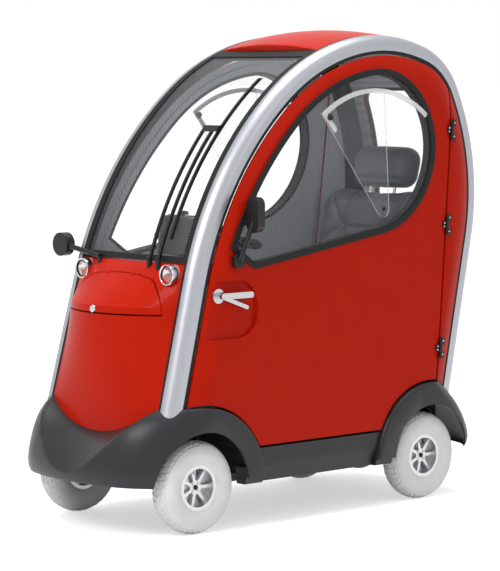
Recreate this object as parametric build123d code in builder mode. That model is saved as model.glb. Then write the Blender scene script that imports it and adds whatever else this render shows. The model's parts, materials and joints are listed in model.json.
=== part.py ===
from build123d import *
from math import atan2, cos, degrees, radians, sin, sqrt, tan
import os

# Enclosed four-wheel mobility scooter: a cabin of two side hoops, with glass, roof and doors
# between and outside them, on a low chassis. Millimetres, floor at z = 0, front -Y, left +X.

# Wheels
TYRE_DIA = 305
TYRE_WIDTH = 88
TYRE_SHOULDER = 9
TREAD_WIDTH = 62
RIM_DIA = 150
RIM_WIDTH = 64
RIM_WALL = 12
RIM_DISH = 16
SPOKES = 7
HUB_DIA = 46
AXLE_DIA = 20
WHEELBASE = 1050
TRACK = 592
RUN_FIT = 0.05

# Cabin outline seen from the side: a leaning front run, arcs over the top, a rear run
SIDE_LEAN = 1.5
SEAM_X = 283
FOOT_Y = -690.5
FOOT_Z = 250
FRONT_LEAN = 14.7
FRONT_RUN = 585
REAR_RUN = 610
ARCH = (  # radius, turn in degrees
    (1200, 35.6),
    (815, 31.7),
    (678, 27.4),
    (276, 44.1),
    (808, 39.5),
)
HOOP_DEPTH = 65
HOOP_WIDTH = 55
HOOP_ROUND = 40
HOOP_WALL = 14
HOOP_CUT = 19
TRIM_SEAL = 11
TRIM_THICK = 4
GLASS = 5
ROOF_WALL = 10
CROWN = 20
SEAM_FIT = 0.3

# Lower body
FENDER_R = 262
ARCH_R = 184
FENDER_HALF = 370
HALF_LENGTH = 818
BUMPER_WALL = 8
FENDER_ROUND = 13
SADDLE_Y = -600
SADDLE_Z = 100
SADDLE_MID_R = 239
SADDLE_SIDE_R = 317.6
NOSE_BACK = 155
FRONT_RISE = (  # height, how far the end lies back from the full length
    (168, 9),
    (196, 0),
    (263, 9),
    (315, 26),
    (364, 54),
    (414.5, 115),
)
REAR_RISE = (  # height, how far the end lies back from the full length
    (168, 20),
    (200, 0),
    (252, 13),
    (298, 39),
    (359, 92),
    (414.5, 150),
)
ENDS = (  # sign along Y, plan radius of the end, of its corners, inner wall of its housings, its rise
    (-1, 800, 228, 160, FRONT_RISE),
    (1, 900, 120, 236, REAR_RISE),
)
SILL_TOP = 262
SILL_BOTTOM = 146
SILL_HALF = 352
SILL_WIDTH = 46
SILL_CREASE = 58
SILL_TUCK = 24

# Doors
DOOR_FACE = 80
DOOR_INNER = 50
DOOR_GAP = 6
LINING = 8
LINING_INSET = 26
ROLL_DROP = 23
ROLL_REACH = 95
HINGE_FOOT_Y = 527
HINGE_LEAN = 5.5
HINGE_HEIGHTS = (529, 960, 1292)
HINGE_LENGTH = 72
HINGE_LEAF = 20
HINGE_THICK = 4
KNUCKLE_R = 6
PIN_R = 3
WINDOW_START = (-386, 923)
WINDOW_HEADING = 24.3
WINDOW_SILL_RUN = 603
WINDOW_ARCS = (  # radius, turn in degrees
    (1235, 23.5),
    (644, 36.7),
    (254, 108.8),
    (305, 67.9),
)
WINDOW_CORNER = 42
SEAL_OUT = 10
SEAL_IN = 12
SEAL_PROUD = 4
GLASS_DEPTH = 3
VENT_PIVOT = (318, 1026)
VENT_FRONT = (26, 1347)
VENT_REAR = (520, 1250)
VENT_R = 434
VENT_THICK = 4
VENT_KNOBS = (  # place on the side, radius, how far it stands out
    ((54, 1346), 11, 14),
    ((324, 1042), 7, 4),
)
RECESS_AT = (-400, 722)
RECESS_WIDE = 236
RECESS_HIGH = 188
RECESS_ROUND = 80
RECESS_DEPTH = 13
HANDLE_AT = (-446, 769)
ESCUTCHEON_R = 24
ESCUTCHEON_THICK = 7
LEVER_LENGTH = 140
LEVER_WIDTH = 20
LEVER_THICK = 9
LEVER_OUT = 34
PRONG_END = (-330, 727)
PRONG_WIDTH = 13
MIRROR_FOOT = (-374, 880)
MIRROR_PAD = 44
MIRROR_BACK = 55
MIRROR_RISE = 150
MIRROR_REACH = 405
MIRROR_DEPTH = 56
MIRROR_HEIGHT = 120
MIRROR_THICK = 34
MIRROR_STEM = 9
MIRROR_TAPER = 6

# Glazing between the hoops
SCREEN_BASE = 876
FRAME_DEPTH = 14
FRAME_BASE = 20
FRAME_HEADER = 48
FRAME_SIDE = 14
ROOF_HEADING = 69
REAR_HEADING = 126
REAR_INSET = 4
REAR_FOOT = 350
REAR_WINDOW_Z = 1220
REAR_WINDOW_WIDE = 400
REAR_WINDOW_HIGH = 440
REAR_WINDOW_ROUND = 60

# Front cowl and its lid
COWL_WALL = 6
COWL_FLANGE = 45
COWL_SECTIONS = (  # height, bulge of the front at the centre
    (290, 8),
    (735, 132),
    (872, 10),
)
LID_HALF_FRONT = 236
LID_HALF_REAR = 158
LID_FRONT_Y = -602
LID_REAR_Y = -578
LID_GAP = 5
LID_LIP = 22
LID_HINGE_X = 60
LID_HINGE_Z = 833.5
LID_KNUCKLE = 18
LID_KNUCKLE_R = 2.2
LID_PIN_R = 1.2
LID_TAB = 6
LAMP_X = 219
LAMP_Y = -528
LAMP_Z = 838
LAMP_R = 33
LAMP_DEEP = 34
WIPER_PIVOTS = (105, 150)
WIPER_ARM = 9
WIPER_OFF = 22
WIPER_FOOT = 884
WIPER_JOINT = 1318
WIPER_BRIDGE = 20
BLADE_X = 176
BLADE_OFF = 13
BLADE_GAP = 4
BLADE_LOW = 950
BLADE_HIGH = 1474
PIVOT_R = 9
PIVOT_DEEP = 50
DASH_HALF = 245
DASH_LOW = 800
DASH_CREST = (-435, 880)
DASH_EDGE = (-352, 862)
TAIL_X = 205
TAIL_Z = 640
TAIL_WIDE = 62
TAIL_HIGH = 150
TAIL_PROUD = 14
COWL_MIRROR_X = 158
COWL_MIRROR_Y = -538
COWL_MIRROR_Z = 880
COWL_MIRROR_R = 40
COWL_MIRROR_BACK = 8
COWL_MIRROR_RISE = 30

# Seat, floor and running gear
FLOOR_Z = 172
FLOOR_THICK = 14
RAIL = 40
RAIL_X = 120
PEDESTAL_HALF = 190
PEDESTAL_FRONT = 66
PEDESTAL_LENGTH = 340
DECK_Y = 424
DECK_Z = 262
PEDESTAL_TOP = 452
PEDESTAL_WALL = 6
PEDESTAL_CORNER = 30
SEAT_HALF = 225
SEAT_OVERHANG = 56
CUSHION_THICK = 105
CUSHION_LENGTH = 440
CUSHION_CORNER = 60
CUSHION_ROUND = 30
BACK_THICK = 95
BACK_HEIGHT = 590
BACK_LEAN = 14
BACK_ROUND = 24
BACK_CORNER = 70
BACK_LIFT = 20
HEAD_HALF = 138
HEAD_HEIGHT = 155
HEAD_THICK = 80
HEAD_CORNER = 50
KINGPIN_X = 236
KINGPIN_R = 13
KNUCKLE_HIGH = 64
PIN_BOLT_R = 6
STUB_ROOT = 8
FORK = 12
FORK_GAP = 6
BEAM = 34
HUB_BACK = 30
SPOKE_THICK = 12
SPOKE_WIDE = 11
AXLE_TUBE_R = 28
GEARBOX_R = 82
BATTERY_HIGH = 230
HEAD_GAP = 34
HEAD_POST_X = 60
HEAD_POST_R = 6
COLLAR_HIGH = 60
COLLAR_R = 38
HEAD_WIDE = 190
HEAD_DEEP = 130
HEAD_TALL = 130
HEAD_EDGE = 16
BAR_WIDE = 430
BAR_DEEP = 190
BAR_ROUND = 70
BAR_R = 13
TILLER_FOOT_Y = -420
TILLER_LEAN = 9.5
TILLER_LENGTH = 715
COLUMN_R = 24

AXLE_Z = TYRE_DIA / 2
FRONT_Y = -WHEELBASE / 2
REAR_Y = WHEELBASE / 2
FENDER_TOP = AXLE_Z + FENDER_R
lean = radians(SIDE_LEAN)
SIDE = Plane(origin=(SEAM_X, 0, 0), x_dir=(0, 1, 0), z_dir=(cos(lean), 0, sin(lean)))
WIDE = 6 * FENDER_HALF


def side_point(y, z, out):
    """Point of the left side: y and z in the leaning side plane, out from the seam."""
    return SIDE.from_local_coords(Vector(y, z, out))


def seam_x(z):
    """Half width between the two hoops at height z."""
    return SEAM_X - z * tan(lean)


def arch_table():
    """Centre, radius and first and last heading of each arc of the cabin outline."""
    heading = FRONT_LEAN
    y = FOOT_Y + FRONT_RUN * sin(radians(heading))
    z = FOOT_Z + FRONT_RUN * cos(radians(heading))
    rows = []
    for radius, turn in ARCH:
        cy = y + radius * cos(radians(heading))
        cz = z - radius * sin(radians(heading))
        rows.append((cy, cz, radius, heading, heading + turn))
        heading += turn
        y = cy - radius * cos(radians(heading))
        z = cz + radius * sin(radians(heading))
    return rows


ARCS = arch_table()
LAST_HEADING = ARCS[-1][4]


def arch_point(heading, inset):
    """Point of the cabin outline where it heads that way, in (y, z)."""
    for cy, cz, radius, first, last in ARCS:
        if first <= heading <= last:
            break
    run = radius - inset
    return Vector(cy - run * cos(radians(heading)), cz + run * sin(radians(heading)))


def arch_edges(inset, first, last):
    """Arcs of the cabin outline between two headings, drawn in the open line builder."""
    for cy, cz, radius, begin, end in ARCS:
        low = max(first, begin)
        high = min(last, end)
        if high - low > 0.01:
            CenterArc((cy, cz), radius - inset, 180 - low, low - high)


def arch_face(inset):
    """Side view of the cabin, inset from its outer edge and closed along its foot."""
    up = radians(FRONT_LEAN)
    down = radians(LAST_HEADING)
    begin = arch_point(FRONT_LEAN, inset)
    end = arch_point(LAST_HEADING, inset)
    front_foot = begin - Vector(sin(up), cos(up)) * FRONT_RUN
    rear_foot = end + Vector(sin(down), cos(down)) * REAR_RUN
    with BuildSketch() as face:
        with BuildLine():
            Line(front_foot, begin)
            arch_edges(inset, FRONT_LEAN, LAST_HEADING)
            Polyline(end, rear_foot, front_foot)
        make_face()
    return face.sketch


def skirt_face(grow):
    """Side view of fenders and sills, which the doors stand on."""
    with BuildSketch() as face:
        with Locations((FRONT_Y, AXLE_Z), (REAR_Y, AXLE_Z)):
            Circle(FENDER_R + grow)
        with Locations((0, (SILL_TOP + grow) / 2)):
            Rectangle(WHEELBASE, SILL_TOP + grow)
    return face.sketch


def window_face():
    """Side view of the door's window opening."""
    with BuildSketch() as face:
        with BuildLine():
            heading = radians(WINDOW_HEADING)
            tip = Vector(*WINDOW_START)
            aim = Vector(sin(heading), cos(heading))
            for radius, turn in WINDOW_ARCS:
                run = JernArc(tip, aim, radius, -turn)
                tip = run @ 1
                aim = run % 1
            low = tip + aim * WINDOW_SILL_RUN
            Polyline(tip, low, WINDOW_START)
        make_face()
        corner = face.vertices().sort_by_distance(low)[0]
        fillet(corner, WINDOW_CORNER)
    return face.sketch


def recess_face():
    """Side view of the hollow behind the door's handle, square in front and round behind."""
    with BuildSketch() as face:
        with Locations(RECESS_AT):
            Rectangle(RECESS_WIDE, RECESS_HIGH)
        rear = face.vertices().sort_by(Axis.X)[2:]
        fillet(rear, RECESS_ROUND)
        fillet(face.vertices().sort_by(Axis.X)[:2], RECESS_ROUND / 5)
    return face.sketch


def hinge_y(z):
    """Place of the door's hinge line at height z in the side plane."""
    return HINGE_FOOT_Y + z * tan(radians(HINGE_LEAN))


def hinge_side_face(shift):
    """Everything in front of the hinge line, moved back by shift."""
    top = WIDE
    with BuildSketch() as face:
        with BuildLine():
            Polyline(
                (-top, 0),
                (hinge_y(0) + shift, 0),
                (hinge_y(top) + shift, top),
                (-top, top),
                close=True,
            )
        make_face()
    return face.sketch


def end_plan(sign, nose_r, corner_r, reach, half):
    """Plan view of one bumper, a rounded end with corners that run into straight sides."""
    deep = sqrt((nose_r - corner_r) ** 2 - (half - corner_r) ** 2)
    corner_y = reach - nose_r + deep
    meet = Vector(half - corner_r, deep).normalized() * nose_r + Vector(0, reach - nose_r)
    with BuildSketch() as face:
        with BuildLine():
            ThreePointArc((-meet.X, meet.Y), (0, reach), (meet.X, meet.Y))
            RadiusArc((meet.X, meet.Y), (half, corner_y), corner_r)
            RadiusArc((-half, corner_y), (-meet.X, meet.Y), corner_r)
            Polyline((half, corner_y), (half, 0), (-half, 0), (-half, corner_y))
        make_face()
        if sign < 0:
            mirror(about=Plane.XZ, mode=Mode.REPLACE)
    return face.sketch


def saddle(inset):
    """Space above the dip in the front bumper, between the feet of the hoops."""
    half = seam_x(FENDER_TOP) + inset
    with BuildPart() as space:
        with Locations((0, SADDLE_Y + inset - HALF_LENGTH / 2, SADDLE_Z + FENDER_TOP / 2)):
            Box(2 * half, HALF_LENGTH, FENDER_TOP)
        with BuildSketch(Plane(origin=(0, SADDLE_Y, SADDLE_Z), x_dir=(1, 0, 0), z_dir=(0, -1, 0))):
            with BuildLine():
                side_r = SADDLE_SIDE_R - inset
                ThreePointArc((-half, side_r), (0, SADDLE_MID_R - inset), (half, side_r))
                Polyline((half, side_r), (half, 0), (-half, 0), (-half, side_r))
            make_face()
        revolve(axis=Axis((0, SADDLE_Y, SADDLE_Z), (1, 0, 0)), mode=Mode.SUBTRACT)
    return space.part


def bumper_block(end, inset):
    """Solid body of one bumper with its fenders, inset all round."""
    sign, nose_r, corner_r, _, rise = end
    half = FENDER_HALF - inset
    top = FENDER_TOP - inset
    with BuildPart() as block:
        with BuildSketch(Plane.YZ.offset(-half)):
            with Locations((sign * REAR_Y, AXLE_Z)):
                Circle(FENDER_R - inset)
            with Locations((sign * (REAR_Y + WIDE / 2), top / 2)):
                Rectangle(WIDE, top)
            with Locations((sign * REAR_Y, top / 2)):
                Rectangle(2 * WIDE, top, mode=Mode.INTERSECT)
        extrude(amount=2 * half)
        if not inset:
            fillet(block.edges().filter_by(GeomType.CIRCLE), FENDER_ROUND)
        for row, (height, setback) in enumerate(rise):
            z = height - inset if row else height - abs(inset)
            with BuildSketch(Plane.XY.offset(z)):
                reach = HALF_LENGTH - setback - inset
                add(end_plan(sign, nose_r - inset, corner_r - inset, reach, half))
        loft(mode=Mode.INTERSECT)
        if sign < 0:
            add(saddle(inset), mode=Mode.SUBTRACT)
    return block.part


def fender_toes(sign):
    """Lower ends of one bumper's fenders beside the sills."""
    with BuildPart() as toes:
        with BuildSketch(Plane.XZ):
            with BuildLine():
                crease = SILL_BOTTOM + SILL_CREASE
                Polyline(
                    (FENDER_HALF, crease),
                    (FENDER_HALF - SILL_TUCK, SILL_BOTTOM),
                    (SILL_HALF - SILL_WIDTH, SILL_BOTTOM),
                    (SILL_HALF - SILL_WIDTH, crease),
                    close=True,
                )
            make_face()
        extrude(amount=-sign * REAR_Y)
        with BuildSketch(Plane.YZ):
            with Locations((sign * REAR_Y, AXLE_Z)):
                Circle(FENDER_R)
        extrude(amount=WIDE, mode=Mode.INTERSECT)
        mirror(about=Plane.YZ)
    return toes.part


def bumper(end):
    """One bumper moulding: nose, fenders and the housings over its two wheels."""
    sign, _, _, housing_x, _ = end
    nose_back = HALF_LENGTH - NOSE_BACK
    with BuildPart() as shell:
        for inset, mode in ((0, Mode.ADD), (BUMPER_WALL, Mode.SUBTRACT)):
            with BuildPart(mode=Mode.PRIVATE) as body:
                add(bumper_block(end, inset))
                with Locations((0, sign * (nose_back + inset) / 2, FENDER_TOP / 2)):
                    Box(2 * (housing_x + inset), nose_back + inset, WIDE, mode=Mode.SUBTRACT)
            add(body.part, mode=mode)
        add(fender_toes(sign))
        with BuildSketch(Plane.YZ.offset(-WIDE / 2)):
            with Locations((sign * REAR_Y, AXLE_Z)):
                Circle(ARCH_R)
            with Locations((sign * REAR_Y, 0)):
                Rectangle(2 * ARCH_R, 2 * AXLE_Z)
        extrude(amount=WIDE, mode=Mode.SUBTRACT)
    return shell.part


def wedge(inset):
    """Space between the two leaning seam planes, inset from them."""
    top = WIDE
    with BuildPart() as space:
        with BuildSketch(Plane.XZ.offset(-WIDE)):
            with BuildLine():
                Polyline(
                    (seam_x(0) - inset, 0),
                    (seam_x(top) - inset, top),
                    (inset - seam_x(top), top),
                    (inset - seam_x(0), 0),
                    close=True,
                )
            make_face()
        extrude(amount=2 * WIDE)
    return space.part


pieces = {}

# Bumpers with fenders
pieces["front_bumper"] = bumper(ENDS[0])
pieces["rear_bumper"] = bumper(ENDS[1])
front_block = bumper_block(ENDS[0], -SEAM_FIT)
rear_block = bumper_block(ENDS[1], -SEAM_FIT)

# Sills between the fenders
with BuildPart() as sills:
    with BuildSketch(Plane.XZ.offset(REAR_Y)):
        with BuildLine():
            Polyline(
                (SILL_HALF, SILL_TOP),
                (SILL_HALF, SILL_BOTTOM + SILL_CREASE),
                (SILL_HALF - SILL_TUCK, SILL_BOTTOM),
                (SILL_HALF - SILL_WIDTH, SILL_BOTTOM),
                (SILL_HALF - SILL_WIDTH, SILL_TOP),
                close=True,
            )
        make_face()
    extrude(amount=-WHEELBASE)
    with BuildSketch(Plane.YZ):
        with Locations((FRONT_Y, AXLE_Z), (REAR_Y, AXLE_Z)):
            Circle(FENDER_R + SEAM_FIT)
    extrude(amount=WIDE, mode=Mode.SUBTRACT)
    mirror(about=Plane.YZ)
pieces["side_sills"] = sills.part

# Side hoops, swept along the cabin outline, and the bright trims let into them
def along_hoop(section):
    """Sweep along the left hoop; the section's x is depth inward and its y width outward."""
    up = radians(FRONT_LEAN)
    down = radians(LAST_HEADING)
    begin = arch_point(FRONT_LEAN, 0)
    end = arch_point(LAST_HEADING, 0)
    foot = begin - Vector(sin(up), cos(up)) * FRONT_RUN
    aim = SIDE.x_dir * sin(up) + SIDE.y_dir * cos(up)
    inward = SIDE.x_dir * cos(up) - SIDE.y_dir * sin(up)
    with BuildPart() as swept:
        with BuildLine(SIDE) as route:
            Line((foot.X, foot.Y), (begin.X, begin.Y))
            arch_edges(0, FRONT_LEAN, LAST_HEADING)
            Line((end.X, end.Y), (end.X + sin(down) * REAR_RUN, end.Y + cos(down) * REAR_RUN))
        with BuildSketch(Plane(origin=side_point(foot.X, foot.Y, 0), x_dir=inward, z_dir=-aim)):
            add(section)
        sweep(path=route.wires()[0])
    return swept.part


def side_prism(face, low, high):
    """Left-side prism of a side-view face between two distances out from the seam."""
    with BuildPart() as prism:
        with BuildSketch(SIDE.offset(low)):
            add(face)
        extrude(amount=high - low)
    return prism.part


def hoop_outline(shift):
    """Outer edge of the hoop's section, let in by shift, from seal to seal."""
    flat = HOOP_WIDTH - HOOP_ROUND
    Line((shift, TRIM_SEAL), (shift, flat))
    CenterArc((HOOP_ROUND, flat), HOOP_ROUND - shift, 180, -90)
    Line((HOOP_ROUND, HOOP_WIDTH - shift), (HOOP_DEPTH - TRIM_SEAL, HOOP_WIDTH - shift))


with BuildSketch() as trim_section:
    with BuildLine():
        hoop_outline(0)
        hoop_outline(TRIM_THICK)
        Line((0, TRIM_SEAL), (TRIM_THICK, TRIM_SEAL))
        Line((HOOP_DEPTH - TRIM_SEAL, HOOP_WIDTH), (HOOP_DEPTH - TRIM_SEAL, HOOP_WIDTH - TRIM_THICK))
    make_face()

with BuildSketch() as hoop_section:
    with BuildLine():
        hoop_outline(TRIM_THICK)
        Polyline((TRIM_THICK, TRIM_SEAL), (0, TRIM_SEAL), (0, 0), (HOOP_WALL, 0))
        Polyline(
            (HOOP_WALL, 0),
            (HOOP_WALL, HOOP_WIDTH - HOOP_WALL - HOOP_CUT),
            (HOOP_WALL + HOOP_CUT, HOOP_WIDTH - HOOP_WALL),
            (HOOP_DEPTH, HOOP_WIDTH - HOOP_WALL),
            (HOOP_DEPTH, HOOP_WIDTH),
            (HOOP_DEPTH - TRIM_SEAL, HOOP_WIDTH),
            (HOOP_DEPTH - TRIM_SEAL, HOOP_WIDTH - TRIM_THICK),
        )
    make_face()

for name, section in (("side_hoops", hoop_section), ("hoop_trims", trim_section)):
    with BuildPart() as pair:
        add(along_hoop(section.sketch))
        add(front_block, mode=Mode.SUBTRACT)
        add(rear_block, mode=Mode.SUBTRACT)
        mirror(about=Plane.YZ)
    pieces[name] = pair.part


# Doors and quarter panels, which roll off towards the hoops
def door_outline(shrink):
    """Side view of the door, shrunk from the opening between hoop, skirt and hinge line."""
    with BuildSketch() as face:
        add(arch_face(HOOP_DEPTH + shrink))
        add(hinge_side_face(-shrink), mode=Mode.INTERSECT)
        add(skirt_face(shrink), mode=Mode.SUBTRACT)
    return face.sketch


roll_r = (ROLL_REACH**2 + ROLL_DROP**2) / (2 * ROLL_DROP)
with BuildSketch() as roll_section:
    with BuildLine():
        edge = (HOOP_DEPTH, DOOR_FACE - ROLL_DROP)
        crest = (HOOP_DEPTH + ROLL_REACH, DOOR_FACE)
        RadiusArc(edge, crest, roll_r)
        Polyline(crest, (crest[0], DOOR_FACE + HOOP_WALL), (0, DOOR_FACE + HOOP_WALL), (0, edge[1]), edge)
    make_face()
roll_off = along_hoop(roll_section.sketch)

opening = window_face()


def grown(face, amount):
    """A side-view face offset by amount."""
    with BuildSketch() as result:
        offset(face, amount=amount)
    return result.sketch


def ring(face, outer, inner):
    """Band between two offsets of a side-view face."""
    with BuildSketch() as band:
        add(grown(face, outer))
        add(grown(face, inner), mode=Mode.SUBTRACT)
    return band.sketch


left_door = {}
with BuildPart() as door_panel:
    add(side_prism(door_outline(DOOR_GAP), DOOR_INNER, DOOR_FACE))
    add(side_prism(opening, 0, WIDE), mode=Mode.SUBTRACT)
    add(roll_off, mode=Mode.SUBTRACT)
    with BuildSketch(SIDE.offset(DOOR_FACE - RECESS_DEPTH)):
        add(recess_face())
    extrude(amount=WIDE, mode=Mode.SUBTRACT)
left_door["panel"] = door_panel.part

with BuildPart() as door_lining:
    with BuildSketch(SIDE.offset(DOOR_INNER - LINING)):
        add(grown(door_outline(DOOR_GAP), -LINING_INSET))
        add(grown(opening, SEAM_FIT), mode=Mode.SUBTRACT)
    extrude(amount=LINING)
left_door["lining"] = door_lining.part

glass_out = DOOR_FACE - GLASS_DEPTH
left_door["glass"] = side_prism(grown(opening, -SEAM_FIT), glass_out - GLASS, glass_out)

with BuildPart() as window_seal:
    add(side_prism(ring(opening, SEAL_OUT, -SEAL_IN), DOOR_FACE, DOOR_FACE + SEAL_PROUD))
    add(side_prism(ring(opening, -SEAM_FIT, -SEAL_IN), glass_out, DOOR_FACE))
    add(side_prism(ring(opening, -SEAM_FIT, -SEAL_IN), DOOR_INNER - LINING, glass_out - GLASS))
left_door["window_seal"] = window_seal.part

with BuildPart() as vent:
    with BuildSketch(SIDE.offset(glass_out)):
        with Locations(VENT_PIVOT):
            Circle(VENT_R)
        with BuildLine():
            above = (VENT_FRONT[0], 2 * VENT_R + VENT_PIVOT[1])
            Polyline(VENT_PIVOT, VENT_FRONT, above, VENT_REAR, close=True)
        make_face(mode=Mode.INTERSECT)
    extrude(amount=VENT_THICK)
    for place, radius, proud in VENT_KNOBS:
        with BuildSketch(SIDE.offset(glass_out)):
            with Locations(place):
                Circle(radius)
        extrude(amount=VENT_THICK + proud)
left_door["vent"] = vent.part

with BuildPart() as handle:
    with BuildSketch(SIDE.offset(DOOR_FACE - RECESS_DEPTH)):
        with Locations(HANDLE_AT):
            Circle(ESCUTCHEON_R)
    extrude(amount=ESCUTCHEON_THICK)
    with BuildSketch(SIDE.offset(DOOR_FACE - RECESS_DEPTH)):
        with Locations(HANDLE_AT):
            Circle(LEVER_WIDTH / 2)
    extrude(amount=LEVER_OUT)
    with BuildSketch(SIDE.offset(DOOR_FACE - RECESS_DEPTH + LEVER_OUT - LEVER_THICK)):
        with Locations((HANDLE_AT[0] + LEVER_LENGTH / 2 - LEVER_WIDTH / 2, HANDLE_AT[1])):
            SlotOverall(LEVER_LENGTH, LEVER_WIDTH)
    extrude(amount=LEVER_THICK)
    with BuildSketch(SIDE.offset(DOOR_FACE - RECESS_DEPTH + ESCUTCHEON_THICK)):
        reach = Vector(*PRONG_END) - Vector(*HANDLE_AT)
        with Locations(Vector(*HANDLE_AT) + reach / 2):
            SlotCenterToCenter(reach.length, PRONG_WIDTH, rotation=degrees(atan2(reach.Y, reach.X)))
    extrude(amount=LEVER_THICK)
left_door["handle"] = handle.part

# Hinges: the outer knuckles and pin belong to the body, the middle knuckle to the door
tilt = radians(HINGE_LEAN)
axis_out = DOOR_FACE + KNUCKLE_R + SEAM_FIT
hinge_aim = SIDE.x_dir * sin(tilt) + SIDE.y_dir * cos(tilt)
knuckle_length = HINGE_LENGTH / 3


def hinge_plane(z):
    """Plane across the hinge axis at height z, x towards the rear and y outward."""
    back = SIDE.x_dir * cos(tilt) - SIDE.y_dir * sin(tilt)
    return Plane(origin=side_point(hinge_y(z), z, axis_out), x_dir=back, z_dir=-hinge_aim)


with BuildPart() as door_hinges:
    for height in HINGE_HEIGHTS:
        with BuildSketch(hinge_plane(height).offset(-knuckle_length / 2 + SEAM_FIT)):
            with Locations((-HINGE_LEAF / 2, HINGE_THICK / 2 - KNUCKLE_R)):
                Rectangle(HINGE_LEAF, HINGE_THICK)
            Circle(KNUCKLE_R)
            Circle(PIN_R + RUN_FIT, mode=Mode.SUBTRACT)
        extrude(amount=knuckle_length - 2 * SEAM_FIT)
left_door["hinges"] = door_hinges.part

with BuildPart() as body_hinges:
    for height in HINGE_HEIGHTS:
        for end in (-HINGE_LENGTH / 2, HINGE_LENGTH / 2 - knuckle_length):
            with BuildSketch(hinge_plane(height).offset(end)):
                with Locations((HINGE_LEAF / 2, HINGE_THICK / 2 - KNUCKLE_R)):
                    Rectangle(HINGE_LEAF, HINGE_THICK)
                Circle(KNUCKLE_R)
            extrude(amount=knuckle_length)
        with BuildSketch(hinge_plane(height).offset(-HINGE_LENGTH / 2)):
            Circle(PIN_R)
        extrude(amount=HINGE_LENGTH)
    mirror(about=Plane.YZ)
pieces["body_hinges"] = body_hinges.part

# Door mirror on the left door
with BuildPart() as door_mirror:
    with BuildSketch(SIDE.offset(DOOR_FACE + SEAL_PROUD + SEAM_FIT)):
        with Locations(MIRROR_FOOT):
            RectangleRounded(MIRROR_PAD, MIRROR_PAD, MIRROR_PAD / 4)
    extrude(amount=MIRROR_PAD / 3)
    stem = side_point(*MIRROR_FOOT, DOOR_FACE + SEAL_PROUD)
    head_at = Vector(MIRROR_REACH - MIRROR_DEPTH / 2, stem.Y + MIRROR_BACK, stem.Z + MIRROR_RISE)
    with BuildLine() as stalk:
        Line(stem + SIDE.z_dir * (MIRROR_PAD / 3), head_at)
    with BuildSketch(Plane(origin=stalk.line @ 0, z_dir=stalk.line % 0)):
        Circle(MIRROR_STEM)
    sweep(path=stalk.line)
    head_front = head_at - Vector(0, MIRROR_THICK / 2, 0)
    with BuildSketch(Plane(origin=head_front, x_dir=(1, 0, 0), z_dir=(0, 1, 0))):
        SlotOverall(MIRROR_HEIGHT, MIRROR_DEPTH, rotation=90)
    extrude(amount=MIRROR_THICK, taper=MIRROR_TAPER)

for part_name, piece in left_door.items():
    pieces[f"door_{part_name}_left"] = piece
    pieces[f"door_{part_name}_right"] = mirror(piece, about=Plane.YZ)
pieces["door_mirror"] = door_mirror.part

with BuildPart() as quarters:
    with BuildSketch(SIDE.offset(DOOR_INNER)):
        add(arch_face(HOOP_DEPTH + SEAM_FIT))
        add(hinge_side_face(DOOR_GAP / 2), mode=Mode.SUBTRACT)
    extrude(amount=DOOR_FACE - DOOR_INNER)
    add(roll_off, mode=Mode.SUBTRACT)
    add(rear_block, mode=Mode.SUBTRACT)
    mirror(about=Plane.YZ)
pieces["quarter_panels"] = quarters.part

# Glazing and panels between the hoops
roof_front = arch_point(ROOF_HEADING, 0).X - SEAM_FIT


def outline_band(outer, inner, low_z, front_y, rear_y, side):
    """Curved sheet between two insets of the cabin outline, cut to a box and the seam planes."""
    with BuildPart() as sheet:
        with BuildSketch(Plane.YZ.offset(-WIDE / 2)):
            add(arch_face(outer))
            add(arch_face(inner), mode=Mode.SUBTRACT)
        extrude(amount=WIDE)
        add(wedge(side), mode=Mode.INTERSECT)
        with Locations((0, (front_y + rear_y) / 2, low_z + WIDE / 2)):
            Box(WIDE, rear_y - front_y, WIDE, mode=Mode.INTERSECT)
    return sheet.part


with BuildPart() as windscreen_frame:
    add(outline_band(0, FRAME_DEPTH, SCREEN_BASE, -HALF_LENGTH, roof_front, SEAM_FIT))
    add(
        outline_band(
            -FRAME_DEPTH,
            2 * FRAME_DEPTH,
            SCREEN_BASE + FRAME_BASE,
            -HALF_LENGTH,
            roof_front - FRAME_HEADER,
            FRAME_SIDE,
        ),
        mode=Mode.SUBTRACT,
    )
pieces["windscreen_frame"] = windscreen_frame.part
pieces["windscreen"] = outline_band(
    GLASS,
    2 * GLASS,
    SCREEN_BASE + FRAME_BASE + SEAM_FIT,
    -HALF_LENGTH,
    roof_front - FRAME_HEADER - SEAM_FIT,
    FRAME_SIDE + SEAM_FIT,
)


def crowned_band(first, last, rise, wall):
    """Panel between the hoops along part of the cabin outline, crowned on top and flat below."""
    half = SEAM_X
    roof_half = seam_x(ARCS[2][1] + ARCS[2][2])
    round_r = (roof_half**2 + rise**2) / (2 * rise)
    drop = round_r - sqrt(round_r**2 - half**2)
    start = arch_point(first, -rise)
    aim = Vector(0, sin(radians(first)), cos(radians(first)))
    inward = Vector(0, cos(radians(first)), -sin(radians(first)))
    with BuildPart() as panel:
        with BuildLine(Plane.YZ) as route:
            arch_edges(-rise, first, last)
        with BuildSketch(Plane(origin=(0, start.X, start.Y), x_dir=inward, z_dir=-aim)):
            with BuildLine():
                ThreePointArc((drop, -half), (0, 0), (drop, half))
                Polyline((drop, half), (rise + wall, half), (rise + wall, -half), (drop, -half))
            make_face()
        sweep(path=route.wires()[0])
        add(wedge(SEAM_FIT), mode=Mode.INTERSECT)
    return panel.part


pieces["roof_panel"] = crowned_band(ROOF_HEADING, REAR_HEADING, CROWN, ROOF_WALL)

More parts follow.
